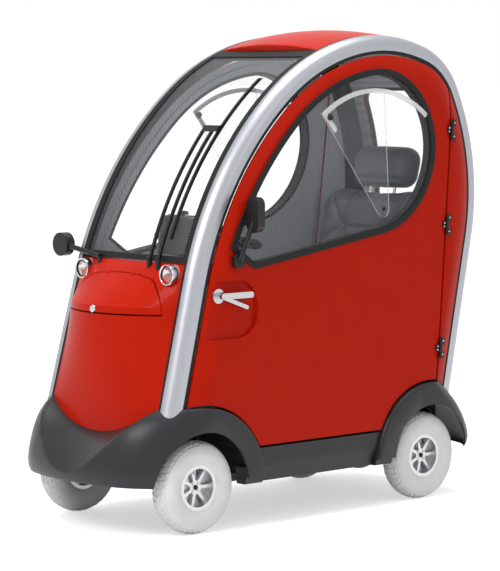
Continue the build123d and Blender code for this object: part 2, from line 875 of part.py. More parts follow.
with BuildPart() as rear_panel:
    add(outline_band(REAR_INSET, REAR_INSET + ROOF_WALL, REAR_FOOT, 0, WIDE, SEAM_FIT))
    rear_top = arch_point(REAR_HEADING, 0)
    cut_aim = radians(REAR_HEADING)
    with BuildSketch(Plane.YZ.offset(-WIDE / 2)):
        with BuildLine():
            along = Vector(sin(cut_aim), cos(cut_aim))
            across = Vector(cos(cut_aim), -sin(cut_aim))
            corner = rear_top + along * SEAM_FIT
            Polyline(
                corner - across * WIDE,
                corner + across * WIDE,
                corner + across * WIDE - along * WIDE,
                corner - across * WIDE - along * WIDE,
                close=True,
            )
        make_face()
    extrude(amount=WIDE, mode=Mode.SUBTRACT)
    add(rear_block, mode=Mode.SUBTRACT)
    with BuildSketch(Plane.XZ):
        with Locations((0, REAR_WINDOW_Z)):
            RectangleRounded(REAR_WINDOW_WIDE, REAR_WINDOW_HIGH, REAR_WINDOW_ROUND)
    extrude(amount=-WIDE, mode=Mode.SUBTRACT)
pieces["rear_panel"] = rear_panel.part


def rear_window_band(outer, inner, grow, hole):
    """Piece of the rear window: a band between two insets, cut to the window's outline."""
    with BuildPart() as sheet:
        add(outline_band(outer, inner, 0, 0, WIDE, SEAM_FIT))
        with BuildSketch(Plane.XZ):
            with Locations((0, REAR_WINDOW_Z)):
                RectangleRounded(
                    REAR_WINDOW_WIDE + 2 * grow, REAR_WINDOW_HIGH + 2 * grow, REAR_WINDOW_ROUND + grow
                )
                if hole:
                    RectangleRounded(
                        REAR_WINDOW_WIDE - 2 * hole,
                        REAR_WINDOW_HIGH - 2 * hole,
                        REAR_WINDOW_ROUND - hole,
                        mode=Mode.SUBTRACT,
                    )
        extrude(amount=-WIDE, mode=Mode.INTERSECT)
    return sheet.part


pieces["rear_window"] = rear_window_band(
    REAR_INSET + GLASS_DEPTH, REAR_INSET + GLASS_DEPTH + GLASS, -SEAM_FIT, 0
)
with BuildPart() as rear_window_seal:
    add(rear_window_band(REAR_INSET - SEAL_PROUD, REAR_INSET, SEAL_OUT, SEAL_IN))
    add(rear_window_band(REAR_INSET, REAR_INSET + GLASS_DEPTH, -SEAM_FIT, SEAL_IN))
pieces["rear_window_seal"] = rear_window_seal.part


# Front cowl and lid
def outline_y(z):
    """Front edge of the cabin outline at height z."""
    cy, cz, radius, first, last = ARCS[0]
    if z < cz + radius * sin(radians(first)):
        return FOOT_Y + (z - FOOT_Z) * tan(radians(FRONT_LEAN))
    return cy - sqrt(radius**2 - (z - cz) ** 2)


def cowl_block(inset):
    """Solid body of the cowl, lofted through its sections and inset all round."""
    with BuildPart() as block:
        for row, (height, bulge) in enumerate(COWL_SECTIONS):
            z = height - inset if row else height - 4 * inset
            half = seam_x(z) - SEAM_FIT - inset
            edge = outline_y(height) + inset
            back = edge + COWL_FLANGE + 4 * inset
            with BuildSketch(Plane.XY.offset(z)):
                with BuildLine():
                    ThreePointArc((-half, edge), (0, edge - bulge), (half, edge))
                    Polyline((half, edge), (half, back), (-half, back), (-half, edge))
                make_face()
        loft(ruled=True)
    return block.part


def lid_prism(grow):
    """Plan of the front lid, grown by its gap."""
    low = COWL_SECTIONS[1][0] - LID_LIP - grow
    with BuildPart() as prism:
        with BuildSketch(Plane.XY.offset(low)):
            with BuildLine():
                front = LID_HALF_FRONT + grow
                rear = LID_HALF_REAR + grow
                Polyline(
                    (-front, -HALF_LENGTH),
                    (front, -HALF_LENGTH),
                    (front, LID_FRONT_Y),
                    (rear, LID_REAR_Y + grow),
                    (-rear, LID_REAR_Y + grow),
                    (-front, LID_FRONT_Y),
                    close=True,
                )
            make_face()
        extrude(amount=WIDE)
    return prism.part


with BuildPart() as cowl_shell:
    add(cowl_block(0))
    add(cowl_block(COWL_WALL), mode=Mode.SUBTRACT)

cowl_body = cowl_block(-SEAM_FIT)
lid_axis_y = LID_REAR_Y + LID_GAP / 2


def lid_knuckles(first, side, bore):
    """Knuckles of the lid's two hinges, each a barrel with a tab towards one side of the gap."""
    with BuildPart() as knuckles:
        for x in (-LID_HINGE_X, LID_HINGE_X):
            for low in first:
                with BuildSketch(Plane.YZ.offset(x + low + SEAM_FIT / 2)):
                    with Locations((lid_axis_y, LID_HINGE_Z)):
                        Circle(LID_KNUCKLE_R)
                        with Locations((side * LID_TAB / 2, -LID_KNUCKLE_R)):
                            Rectangle(LID_TAB, 3 * LID_KNUCKLE_R)
                        Circle(bore, mode=Mode.SUBTRACT)
                extrude(amount=LID_KNUCKLE - SEAM_FIT)
    return knuckles.part


with BuildPart() as front_lid:
    add(cowl_shell.part)
    add(lid_prism(0), mode=Mode.INTERSECT)
    add(lid_knuckles((-LID_KNUCKLE / 2,), -1, LID_PIN_R + RUN_FIT))
pieces["front_lid"] = front_lid.part

with BuildPart() as front_cowl:
    add(cowl_shell.part)
    add(lid_prism(LID_GAP), mode=Mode.SUBTRACT)
    add(front_block, mode=Mode.SUBTRACT)
    add(lid_knuckles((-3 * LID_KNUCKLE / 2, LID_KNUCKLE / 2), 1, LID_PIN_R))
    for x in (-LID_HINGE_X, LID_HINGE_X):
        with BuildSketch(Plane.YZ.offset(x - 3 * LID_KNUCKLE / 2)):
            with Locations((lid_axis_y, LID_HINGE_Z)):
                Circle(LID_PIN_R)
        extrude(amount=3 * LID_KNUCKLE)
pieces["front_cowl"] = front_cowl.part

# Wiper: two parallel arms on pivots in the cowl, and a blade along the windscreen
bridge_low = WIPER_JOINT - WIPER_BRIDGE
WIPER = (  # place along X, width, far and near distance from the outline, lowest and highest z
    (WIPER_PIVOTS[0] - WIPER_ARM / 2, WIPER_ARM, WIPER_OFF, BLADE_OFF, WIPER_FOOT, WIPER_JOINT),
    (WIPER_PIVOTS[1] - WIPER_ARM / 2, WIPER_ARM, WIPER_OFF, BLADE_OFF, WIPER_FOOT, WIPER_JOINT),
    (WIPER_PIVOTS[0], BLADE_X - WIPER_PIVOTS[0], WIPER_OFF, BLADE_OFF, bridge_low, WIPER_JOINT),
    (BLADE_X - WIPER_ARM, WIPER_ARM, WIPER_OFF, BLADE_GAP, bridge_low, WIPER_JOINT),
    (BLADE_X - WIPER_ARM, WIPER_ARM, BLADE_OFF, BLADE_GAP, BLADE_LOW, BLADE_HIGH),
)
with BuildPart() as wiper:
    for x, wide, far, near, low, high in WIPER:
        with BuildSketch(Plane.YZ.offset(x)):
            add(arch_face(-far))
            add(arch_face(-near), mode=Mode.SUBTRACT)
            with Locations((-HALF_LENGTH / 2, (low + high) / 2)):
                Rectangle(HALF_LENGTH + 2 * WIPER_OFF, high - low, mode=Mode.INTERSECT)
        extrude(amount=wide)
    for x in WIPER_PIVOTS:
        with BuildSketch(Plane.XY.offset(WIPER_FOOT + PIVOT_R)):
            with Locations((x, outline_y(WIPER_FOOT) - WIPER_OFF)):
                Circle(PIVOT_R)
        extrude(amount=-PIVOT_DEEP)
    add(cowl_body, mode=Mode.SUBTRACT)
pieces["wiper"] = wiper.part

# Dash shelf behind the windscreen
with BuildPart() as dash:
    with BuildSketch(Plane.YZ.offset(-DASH_HALF)):
        with BuildLine():
            face_y = outline_y(COWL_SECTIONS[-1][0]) + COWL_FLANGE + SEAM_FIT
            Polyline(
                (face_y, DASH_LOW),
                (face_y, COWL_SECTIONS[-1][0]),
                DASH_CREST,
                DASH_EDGE,
                (DASH_EDGE[0], DASH_LOW),
                close=True,
            )
        make_face()
    extrude(amount=2 * DASH_HALF)
pieces["dash"] = dash.part

# Lamps
with BuildPart() as front_lamps:
    with BuildSketch(Plane(origin=(LAMP_X, LAMP_Y, LAMP_Z), x_dir=(1, 0, 0), z_dir=(0, -1, 0))):
        Circle(LAMP_R)
    extrude(amount=LAMP_DEEP)
    fillet(front_lamps.faces().sort_by(Axis.Y)[0].edges(), LAMP_R / 3)
    add(cowl_body, mode=Mode.SUBTRACT)
    mirror(about=Plane.YZ)
pieces["front_lamps"] = front_lamps.part

with BuildPart() as rear_lamps:
    with BuildSketch(Plane.XZ):
        with Locations((TAIL_X, TAIL_Z)):
            RectangleRounded(TAIL_WIDE, TAIL_HIGH, TAIL_WIDE / 3)
    extrude(amount=-WIDE)
    lens = outline_band(REAR_INSET - TAIL_PROUD, REAR_INSET - SEAM_FIT, 0, 0, WIDE, SEAM_FIT)
    add(lens, mode=Mode.INTERSECT)
    mirror(about=Plane.YZ)
pieces["rear_lamps"] = rear_lamps.part

# Floor, chassis rails and the masses they carry
nose_inner = HALF_LENGTH - NOSE_BACK - SEAM_FIT
rail_top = FLOOR_Z - FLOOR_THICK
rail_front = FRONT_Y + BEAM / 2 + SEAM_FIT
rail_rear = REAR_Y - AXLE_TUBE_R - SEAM_FIT
with BuildPart() as floor_pan:
    with BuildSketch(Plane.XY.offset(rail_top)):
        Rectangle(2 * (SILL_HALF - SILL_WIDTH - SEAM_FIT), WHEELBASE - 2 * FENDER_R)
        with Locations((0, (DECK_Y - nose_inner) / 2)):
            Rectangle(2 * (ENDS[0][3] - SEAM_FIT), DECK_Y + nose_inner)
    extrude(amount=FLOOR_THICK)
    deck_half = ENDS[1][3] - SEAM_FIT
    with Locations((0, DECK_Y - FLOOR_THICK / 2, (rail_top + DECK_Z) / 2)):
        Box(2 * deck_half, FLOOR_THICK, DECK_Z - rail_top)
    with Locations((0, (DECK_Y - FLOOR_THICK + nose_inner) / 2, DECK_Z - FLOOR_THICK / 2)):
        Box(2 * deck_half, nose_inner - DECK_Y + FLOOR_THICK, FLOOR_THICK)
    for sign in (-1, 1):
        with Locations((sign * RAIL_X, (rail_rear + rail_front) / 2, rail_top - RAIL / 2)):
            Box(RAIL, rail_rear - rail_front, RAIL)
pieces["floor_pan"] = floor_pan.part

with BuildPart() as battery:
    with Locations((0, PEDESTAL_FRONT + PEDESTAL_LENGTH / 2, FLOOR_Z + BATTERY_HIGH / 2)):
        Box(2 * (PEDESTAL_HALF - 3 * PEDESTAL_WALL), PEDESTAL_LENGTH - 6 * PEDESTAL_WALL, BATTERY_HIGH)
pieces["battery_block"] = battery.part

with BuildPart() as pedestal:
    with Locations((0, PEDESTAL_FRONT + PEDESTAL_LENGTH / 2, (FLOOR_Z + PEDESTAL_TOP) / 2)):
        Box(2 * PEDESTAL_HALF, PEDESTAL_LENGTH, PEDESTAL_TOP - FLOOR_Z)
    fillet(pedestal.edges().filter_by(Axis.Z), PEDESTAL_CORNER)
    foot = pedestal.faces().sort_by(Axis.Z)[0]
    offset(amount=-PEDESTAL_WALL, openings=foot)
pieces["seat_pedestal"] = pedestal.part

# Seat
seat_front = PEDESTAL_FRONT - SEAT_OVERHANG
cushion_top = PEDESTAL_TOP + CUSHION_THICK
with BuildPart() as cushion:
    with Locations((0, seat_front + CUSHION_LENGTH / 2, PEDESTAL_TOP + SEAM_FIT + CUSHION_THICK / 2)):
        Box(2 * SEAT_HALF, CUSHION_LENGTH, CUSHION_THICK)
    fillet(cushion.edges().filter_by(Axis.Z), CUSHION_CORNER)
    fillet(cushion.faces().sort_by(Axis.Z)[-1].edges(), CUSHION_ROUND)
pieces["seat_cushion"] = cushion.part

back_nest = BACK_ROUND * (sin(radians(BACK_LEAN)) + cos(radians(BACK_LEAN)) - 1)
BACK = Plane(
    origin=(0, seat_front + CUSHION_LENGTH + SEAM_FIT - back_nest, PEDESTAL_TOP + BACK_LIFT),
    x_dir=(1, 0, 0),
    z_dir=(0, -cos(radians(BACK_LEAN)), sin(radians(BACK_LEAN))),
)
with BuildPart() as backrest:
    with BuildSketch(BACK.offset(-BACK_THICK)):
        with Locations((0, BACK_HEIGHT / 2)):
            RectangleRounded(2 * SEAT_HALF, BACK_HEIGHT, BACK_CORNER)
    extrude(amount=BACK_THICK)
    fillet(backrest.faces().sort_by(Axis.Y)[0].edges(), BACK_ROUND)
pieces["seat_back"] = backrest.part

with BuildPart() as headrest:
    with BuildSketch(BACK.offset(-BACK_THICK / 2 - HEAD_THICK / 2)):
        with Locations((0, BACK_HEIGHT + HEAD_GAP + HEAD_HEIGHT / 2)):
            RectangleRounded(2 * HEAD_HALF, HEAD_HEIGHT, HEAD_CORNER)
    extrude(amount=HEAD_THICK)
    for sign in (-1, 1):
        post = Plane(
            origin=BACK.from_local_coords(Vector(sign * HEAD_POST_X, BACK_HEIGHT, -BACK_THICK / 2)),
            z_dir=BACK.y_dir,
        )
        with BuildSketch(post.offset(SEAM_FIT)):
            Circle(HEAD_POST_R)
        extrude(amount=HEAD_GAP + HEAD_HEIGHT / 2)
pieces["headrest"] = headrest.part


# Wheels: tyre and spoked rim on each corner
def wheel_plane(x, y, out):
    """Plane across a wheel's axle at its middle, z pointing out of the vehicle."""
    return Plane(origin=(x, y, AXLE_Z), x_dir=(0, 1, 0), z_dir=(out, 0, 0))


def tyre(plane):
    """Tyre turned about its axle."""
    half = TYRE_WIDTH / 2
    bead = RIM_DIA / 2
    with BuildPart() as ring_part:
        with BuildSketch(Plane(origin=plane.origin, x_dir=plane.x_dir, z_dir=plane.y_dir)) as profile:
            with BuildLine():
                outer = TYRE_DIA / 2
                edge = outer - TYRE_SHOULDER
                bulge = (bead + edge) / 2
                Line((bead, RIM_WIDTH / 2), (bead, -RIM_WIDTH / 2))
                ThreePointArc((bead, -RIM_WIDTH / 2), (bulge, -half), (edge, -TREAD_WIDTH / 2))
                ThreePointArc((edge, -TREAD_WIDTH / 2), (outer, 0), (edge, TREAD_WIDTH / 2))
                ThreePointArc((edge, TREAD_WIDTH / 2), (bulge, half), (bead, RIM_WIDTH / 2))
            make_face()
        revolve(axis=Axis(plane.origin, plane.z_dir))
    return ring_part.part


def rim(plane):
    """Rim: a barrel, a dished disc of spokes and a hub bored for the axle."""
    with BuildPart() as wheel:
        with BuildSketch(plane.offset(-RIM_WIDTH / 2)):
            Circle(RIM_DIA / 2 - SEAM_FIT)
            Circle(RIM_DIA / 2 - RIM_WALL, mode=Mode.SUBTRACT)
        extrude(amount=RIM_WIDTH)
        with BuildSketch(plane.offset(RIM_WIDTH / 2 - RIM_DISH - SPOKE_THICK)):
            Circle(HUB_DIA / 2)
            with PolarLocations(0, SPOKES):
                with Locations(((HUB_DIA + RIM_DIA) / 4 - RIM_WALL / 2, 0)):
                    Rectangle((RIM_DIA - HUB_DIA) / 2, SPOKE_WIDE)
        extrude(amount=SPOKE_THICK)
        with BuildSketch(plane.offset(-HUB_BACK)):
            Circle(HUB_DIA / 2)
        extrude(amount=HUB_BACK + RIM_WIDTH / 2 - RIM_DISH)
        with BuildSketch(plane.offset(-HUB_BACK)):
            Circle(AXLE_DIA / 2 + RUN_FIT)
        extrude(amount=HUB_BACK + RIM_WIDTH / 2 - RIM_DISH - SPOKE_THICK, mode=Mode.SUBTRACT)
    return wheel.part


WHEELS = (  # name, sign along X, place along Y
    ("front_left", 1, FRONT_Y),
    ("front_right", -1, FRONT_Y),
    ("rear_left", 1, REAR_Y),
    ("rear_right", -1, REAR_Y),
)
for corner_name, out, y in WHEELS:
    plane = wheel_plane(out * TRACK / 2, y, out)
    pieces[f"tyre_{corner_name}"] = tyre(plane)
    pieces[f"rim_{corner_name}"] = rim(plane)

# Front axle, knuckles and rear drive
stub_end = TRACK / 2 + RIM_WIDTH / 2 - RIM_DISH - SPOKE_THICK
with BuildPart() as knuckle:
    with Locations((KINGPIN_X, FRONT_Y, AXLE_Z)):
        Cylinder(KINGPIN_R, KNUCKLE_HIGH)
        Cylinder(PIN_BOLT_R + RUN_FIT, KNUCKLE_HIGH, mode=Mode.SUBTRACT)
    with BuildSketch(Plane.YZ.offset(KINGPIN_X + STUB_ROOT)):
        with Locations((FRONT_Y, AXLE_Z)):
            Circle(AXLE_DIA / 2)
    extrude(amount=stub_end - KINGPIN_X - STUB_ROOT - SEAM_FIT)
pieces["knuckle_left"] = knuckle.part
pieces["knuckle_right"] = mirror(knuckle.part, about=Plane.YZ)

with BuildPart() as front_axle:
    beam_end = KINGPIN_X - KINGPIN_R - FORK_GAP
    with Locations((0, FRONT_Y, rail_top - SEAM_FIT - BEAM / 2)):
        Box(2 * beam_end, BEAM, BEAM)
    for sign in (-1, 1):
        with Locations((sign * (beam_end - FORK / 2), FRONT_Y, AXLE_Z)):
            Box(FORK, 2 * KINGPIN_R, KNUCKLE_HIGH + 2 * FORK)
        for lift in (-1, 1):
            arm_z = AXLE_Z + lift * (KNUCKLE_HIGH + FORK + SEAM_FIT) / 2
            with Locations((sign * (beam_end + KINGPIN_X + KINGPIN_R) / 2, FRONT_Y, arm_z)):
                Box(KINGPIN_X + KINGPIN_R - beam_end, 2 * KINGPIN_R, FORK - SEAM_FIT)
        with Locations((sign * KINGPIN_X, FRONT_Y, AXLE_Z)):
            Cylinder(PIN_BOLT_R, KNUCKLE_HIGH + 2 * FORK)
pieces["front_axle"] = front_axle.part

with BuildPart() as transaxle:
    drum_end = TRACK / 2 - HUB_BACK - SEAM_FIT
    with BuildSketch(Plane.YZ.offset(-drum_end)):
        with Locations((REAR_Y, AXLE_Z)):
            Circle(AXLE_TUBE_R)
    extrude(amount=2 * drum_end)
    with BuildSketch(Plane.YZ.offset(-stub_end + SEAM_FIT)):
        with Locations((REAR_Y, AXLE_Z)):
            Circle(AXLE_DIA / 2)
    extrude(amount=2 * (stub_end - SEAM_FIT))
    with Locations((0, REAR_Y, AXLE_Z)):
        Sphere(GEARBOX_R)
pieces["transaxle"] = transaxle.part

# Tiller: a column through the floor with a head and a loop handlebar
TILLER = Plane(
    origin=(0, TILLER_FOOT_Y, FLOOR_Z),
    x_dir=(1, 0, 0),
    z_dir=(0, sin(radians(TILLER_LEAN)), cos(radians(TILLER_LEAN))),
)
with BuildPart() as tiller_column:
    with BuildSketch(TILLER.offset(COLLAR_HIGH + SEAM_FIT)):
        Circle(COLUMN_R)
    extrude(amount=TILLER_LENGTH - COLLAR_HIGH)
pieces["tiller_column"] = tiller_column.part

with BuildPart() as tiller_base:
    with BuildSketch(TILLER):
        Circle(COLLAR_R)
    extrude(amount=COLLAR_HIGH)
    with BuildSketch(Plane.XY.offset(FLOOR_Z)):
        with Locations((0, TILLER_FOOT_Y)):
            Rectangle(WIDE, WIDE)
    extrude(amount=-WIDE, mode=Mode.SUBTRACT)
pieces["tiller_base"] = tiller_base.part

head_plane = TILLER.offset(TILLER_LENGTH + 2 * SEAM_FIT)
with BuildPart() as tiller_head:
    with BuildSketch(head_plane):
        RectangleRounded(HEAD_WIDE, HEAD_DEEP, HEAD_DEEP / 3)
    extrude(amount=HEAD_TALL)
    fillet(tiller_head.faces().sort_by(Axis.Z)[-1].edges(), HEAD_EDGE)
pieces["tiller_head"] = tiller_head.part

with BuildPart() as handlebar:
    bar_plane = head_plane.offset(HEAD_TALL / 2)
    with BuildSketch(bar_plane.offset(-BAR_R)):
        with Locations((0, BAR_DEEP / 2)):
            RectangleRounded(BAR_WIDE, BAR_DEEP, BAR_ROUND)
            RectangleRounded(
                BAR_WIDE - 4 * BAR_R, BAR_DEEP - 4 * BAR_R, BAR_ROUND - 2 * BAR_R, mode=Mode.SUBTRACT
            )
    extrude(amount=2 * BAR_R)
    add(tiller_head.part, mode=Mode.SUBTRACT)
pieces["handlebar"] = handlebar.part

# Mirror on the cowl's right corner
with BuildPart() as cowl_mirror:
    root = Vector(-COWL_MIRROR_X, COWL_MIRROR_Y, COWL_MIRROR_Z)
    tip = Vector(COWL_MIRROR_R - MIRROR_REACH, root.Y + COWL_MIRROR_BACK, root.Z + COWL_MIRROR_RISE)
    with BuildLine() as stalk_line:
        Line(root, tip)
    with BuildSketch(Plane(origin=root, z_dir=stalk_line.line % 0)):
        Circle(MIRROR_STEM)
    sweep(path=stalk_line.line)
    with BuildSketch(Plane(origin=tip - Vector(0, MIRROR_THICK / 2, 0), x_dir=(1, 0, 0), z_dir=(0, 1, 0))):
        Circle(COWL_MIRROR_R)
    extrude(amount=MIRROR_THICK)
    with BuildSketch(Plane.XY.offset(COWL_MIRROR_Z)):
        with Locations((-COWL_MIRROR_X, COWL_MIRROR_Y)):
            Circle(MIRROR_STEM)
    extrude(amount=-4 * MIRROR_STEM)
    add(cowl_body, mode=Mode.SUBTRACT)
    with BuildSketch(Plane.XY.offset(COWL_SECTIONS[1][0])):
        Rectangle(WIDE, WIDE)
    extrude(amount=-WIDE, mode=Mode.SUBTRACT)
pieces["cowl_mirror"] = cowl_mirror.part

os.makedirs("parts", exist_ok=True)
for name, piece in pieces.items():
    piece.label = name
    export_step(piece, f"parts/{name}.step")
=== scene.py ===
# %% [markdown]
# # An enclosed mobility scooter
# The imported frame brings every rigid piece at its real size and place, and the joints that move it.
# This lesson gives each piece its finish and adds what is soft or small: pads, tread, controls, screws.

import json
from math import cos, exp, radians, sin, sqrt, tan, tau

import bmesh
import bpy
from mathutils import Matrix, Vector


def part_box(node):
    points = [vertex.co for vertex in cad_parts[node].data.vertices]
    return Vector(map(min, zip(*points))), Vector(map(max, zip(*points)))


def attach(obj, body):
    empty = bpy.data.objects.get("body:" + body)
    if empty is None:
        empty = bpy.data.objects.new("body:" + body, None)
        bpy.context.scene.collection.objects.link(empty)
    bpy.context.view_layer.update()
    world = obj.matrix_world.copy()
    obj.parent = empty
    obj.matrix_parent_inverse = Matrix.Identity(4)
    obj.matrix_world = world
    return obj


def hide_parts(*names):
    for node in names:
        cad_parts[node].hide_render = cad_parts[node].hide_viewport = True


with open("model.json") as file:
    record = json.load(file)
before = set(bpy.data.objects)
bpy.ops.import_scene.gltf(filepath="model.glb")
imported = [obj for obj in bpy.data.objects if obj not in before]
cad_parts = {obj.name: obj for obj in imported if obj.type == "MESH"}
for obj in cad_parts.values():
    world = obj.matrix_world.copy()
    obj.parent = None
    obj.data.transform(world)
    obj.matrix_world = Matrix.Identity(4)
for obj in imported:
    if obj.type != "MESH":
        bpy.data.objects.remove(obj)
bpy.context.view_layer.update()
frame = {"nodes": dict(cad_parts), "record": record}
nodes = frame["nodes"]
scene = bpy.context.scene
body_of_node = {
    node: body for body, members in frame["record"]["behaviour"]["bodies"].items() for node in members
}
slot_of_node = {row["node"]: row["material_slot"] for row in frame["record"]["subparts"]}

# %% [markdown]
# ## The camera
# A long lens far from the vehicle flattens its perspective, as in a catalogue picture.
# The lens is worked out from the focal length in pixels, so that the frame's height is the sensor's.

# %% Camera
FRAME_HEIGHT_PX = 571
FOCAL_PX = 2513
SENSOR = 36.0
CAMERA_AT = (6.3923, -5.8126, 1.4732)
CAMERA_TURN = 47.735
CAMERA_DIP = 4.714

camera_data = bpy.data.cameras.new("catalogue_camera")
camera_data.sensor_fit = "VERTICAL"
camera_data.sensor_height = SENSOR
camera_data.lens = FOCAL_PX * SENSOR / FRAME_HEIGHT_PX
camera = bpy.data.objects.new("catalogue_camera", camera_data)
camera.location = CAMERA_AT
camera.rotation_euler = (radians(90 - CAMERA_DIP), 0, radians(CAMERA_TURN))
scene.collection.objects.link(camera)
scene.camera = camera
scene.view_settings.view_transform = "Standard"
print("lens", round(camera_data.lens, 1), "mm")

# %% [markdown]
# ## Node maths as Python
# A node tree reads better as arithmetic. `Wire` holds one socket and turns `+`, `*`, `>` and powers into
# Math nodes; `Graph.node` makes any other node from its type, its settings and its sockets. The same
# two classes write the shaders and the Geometry Nodes trees of this lesson.

# %% Wires and graphs
class Wire:
    """One output socket of a graph; arithmetic on it adds Math nodes."""

    def __init__(self, graph, socket):
        self.graph = graph
        self.socket = socket

    def math(self, operation, first, second):
        return self.graph.node("ShaderNodeMath", {"operation": operation}, {0: first, 1: second})

    def __radd__(self, other):
        return self.math("ADD", other, self)

    def __mul__(self, other):
        return self.math("MULTIPLY", self, other)

    def __rmul__(self, other):
        return self.math("MULTIPLY", other, self)

    def __pow__(self, other):
        return self.math("POWER", self, other)

    def __gt__(self, other):
        return self.math("GREATER_THAN", self, other)


class Graph:
    """A node tree that is written one node at a time."""

    def __init__(self, tree):
        self.tree = tree

    def node(self, kind, settings=None, inputs=None, out=0):
        made = self.tree.nodes.new(kind)
        for key, value in (settings or {}).items():
            setattr(made, key, value)
        for key, value in (inputs or {}).items():
            if isinstance(value, Wire):
                self.tree.links.new(value.socket, made.inputs[key])
            else:
                made.inputs[key].default_value = value
        return Wire(self, made.outputs[out]) if made.outputs else None


class Finish(Graph):
    """A material with one Principled shader, and helpers that wire it."""

    def __init__(self, name, constants):
        self.material = bpy.data.materials.new(name)
        self.material.use_nodes = True
        super().__init__(self.material.node_tree)
        self.shader = self.tree.nodes["Principled BSDF"]
        for socket, value in constants.items():
            self.shader.inputs[socket].default_value = value
        self.place = self.node("ShaderNodeTexCoord", out="Object")

    def feed(self, socket, wire):
        self.tree.links.new(wire.socket, self.shader.inputs[socket])

    def noise(self, scale, detail=3.0, roughness=0.5, stretch=None):
        at = self.place
        if stretch:
            at = self.node("ShaderNodeMapping", {}, {"Vector": at, "Scale": stretch})
        settings = {"Vector": at, "Scale": scale, "Detail": detail, "Roughness": roughness}
        return self.node("ShaderNodeTexNoise", {}, settings)

    def between(self, factor, first, second):
        """Colour from first to second as the factor goes from 0 to 1."""
        inputs = {"Factor": factor, 6: first, 7: second}
        return self.node("ShaderNodeMix", {"data_type": "RGBA"}, inputs, out=2)

    def bump(self, height, strength, distance):
        inputs = {"Strength": strength, "Distance": distance, "Height": height}
        self.feed("Normal", self.node("ShaderNodeBump", {}, inputs))


def shade(colour, factor):
    """A colour made lighter or darker, with its alpha kept."""
    return (colour[0] * factor, colour[1] * factor, colour[2] * factor, 1.0)


# %% [markdown]
# ## The finishes
# Each finish has the detail that the real one shows at its own scale: orange peel in the paint, a spark
# eroded grain on the mouldings, brushing on the trims, bloom on the tyres. Constants sit on the sockets.

# %% Paint, mouldings and trims
def gloss_paint(name, colour):
    """Sprayed paint: a faint mottle of colour under a thin coat with a little orange peel."""
    constants = {"Coat Weight": 0.06, "Coat Roughness": 0.04, "IOR": 1.45, "Specular IOR Level": 0.05}
    finish = Finish(name, constants)
    mottle = finish.noise(9.0, 4.0)
    finish.feed("Base Color", finish.between(mottle, shade(colour, 0.92), shade(colour, 1.06)))
    finish.feed("Roughness", 0.3 + 0.08 * finish.noise(60.0))
    finish.bump(finish.noise(420.0, 2.0), 0.03, 0.0006)
    return finish.material


def grained_moulding(name, colour, roughness, grain=900.0):
    """Moulded plastic with the fine grain of its tool."""
    finish = Finish(name, {"IOR": 1.47, "Specular IOR Level": 0.3})
    tone = finish.noise(14.0, 5.0)
    finish.feed("Base Color", finish.between(tone, shade(colour, 0.85), shade(colour, 1.15)))
    finish.feed("Roughness", roughness - 0.05 + 0.12 * finish.noise(35.0, 4.0))
    finish.bump(finish.noise(grain, 2.0), 0.12, 0.0004)
    return finish.material


def satin_metal(name, colour, roughness, brushing=(1.0, 1.0, 1.0)):
    """Satin metal with faint brushing along one direction."""
    finish = Finish(name, {"Metallic": 1.0})
    streaks = finish.noise(160.0, 5.0, 0.65, brushing)
    finish.feed("Base Color", finish.between(streaks, shade(colour, 0.92), shade(colour, 1.05)))
    finish.feed("Roughness", roughness - 0.05 + 0.1 * streaks)
    finish.bump(streaks, 0.04, 0.0003)
    return finish.material


def rubber(name, colour):
    """Matt rubber with a dusty bloom."""
    finish = Finish(name, {"IOR": 1.5, "Specular IOR Level": 0.25})
    bloom = finish.noise(24.0, 6.0, 0.6)
    finish.feed("Base Color", finish.between(bloom, shade(colour, 0.88), shade(colour, 1.12)))
    finish.feed("Roughness", 0.55 + 0.2 * bloom)
    finish.bump(finish.noise(700.0, 2.0), 0.1, 0.0003)
    return finish.material


def clear_sheet(name, tint, base, rim):
    """Clear glazing: nearly see-through face on, more reflective at a low angle."""
    finish = Finish(name, {"Base Color": tint, "Roughness": 0.04, "IOR": 1.5})
    facing = finish.node("ShaderNodeLayerWeight", {}, {"Blend": 0.35}, out="Facing")
    finish.feed("Alpha", base + rim * facing ** 3.0)
    return finish.material


def leather(name, colour):
    """Grained leather: pebbles from a cell pattern, polished where it is touched."""
    finish = Finish(name, {"IOR": 1.45, "Specular IOR Level": 0.4})
    pebbles = {"Vector": finish.place, "Scale": 420.0}
    cells = finish.node("ShaderNodeTexVoronoi", {"feature": "DISTANCE_TO_EDGE"}, pebbles)
    tone = finish.noise(11.0, 5.0)
    finish.feed("Base Color", finish.between(tone, shade(colour, 0.85), shade(colour, 1.2)))
    finish.feed("Roughness", 0.36 + 0.16 * finish.noise(40.0, 4.0))
    finish.bump(cells, 0.12, 0.0004)
    return finish.material


def ribbed_lining(name, colour, pitch):
    """Carpet-like lining with fine upright ribs, with painted shade in the grooves between them."""
    finish = Finish(name, {"Roughness": 0.8})
    ribs = finish.node(
        "ShaderNodeTexWave",
        {"wave_type": "BANDS", "bands_direction": "Y"},
        {"Vector": finish.place, "Scale": 1.0 / pitch / 3.2, "Distortion": 0.0},
    )
    # The colour follows the ribs' height: painted shade darkens the grooves and the crests are painted
    # lighter.
    finish.feed("Base Color", finish.between(ribs, shade(colour, 0.8), shade(colour, 1.1)))
    finish.bump(ribs, 0.4, 0.0015)
    return finish.material


def tail_lens(name, zones):
    """Lamp lens in zones of colour from the bottom up, with fine prisms moulded inside."""
    finish = Finish(name, {"Roughness": 0.12, "IOR": 1.5})
    level = finish.node("ShaderNodeSeparateXYZ", {}, {0: finish.place}, out="Z")
    colour = zones[0][1]
    for height, above in zones[1:]:
        colour = finish.between(level > height, colour, above)
    finish.feed("Base Color", colour)
    prisms = finish.node(
        "ShaderNodeTexWave", {"bands_direction": "Z"}, {"Vector": finish.place, "Scale": 60.0}
    )
    finish.bump(prisms, 0.3, 0.001)
    return finish.material


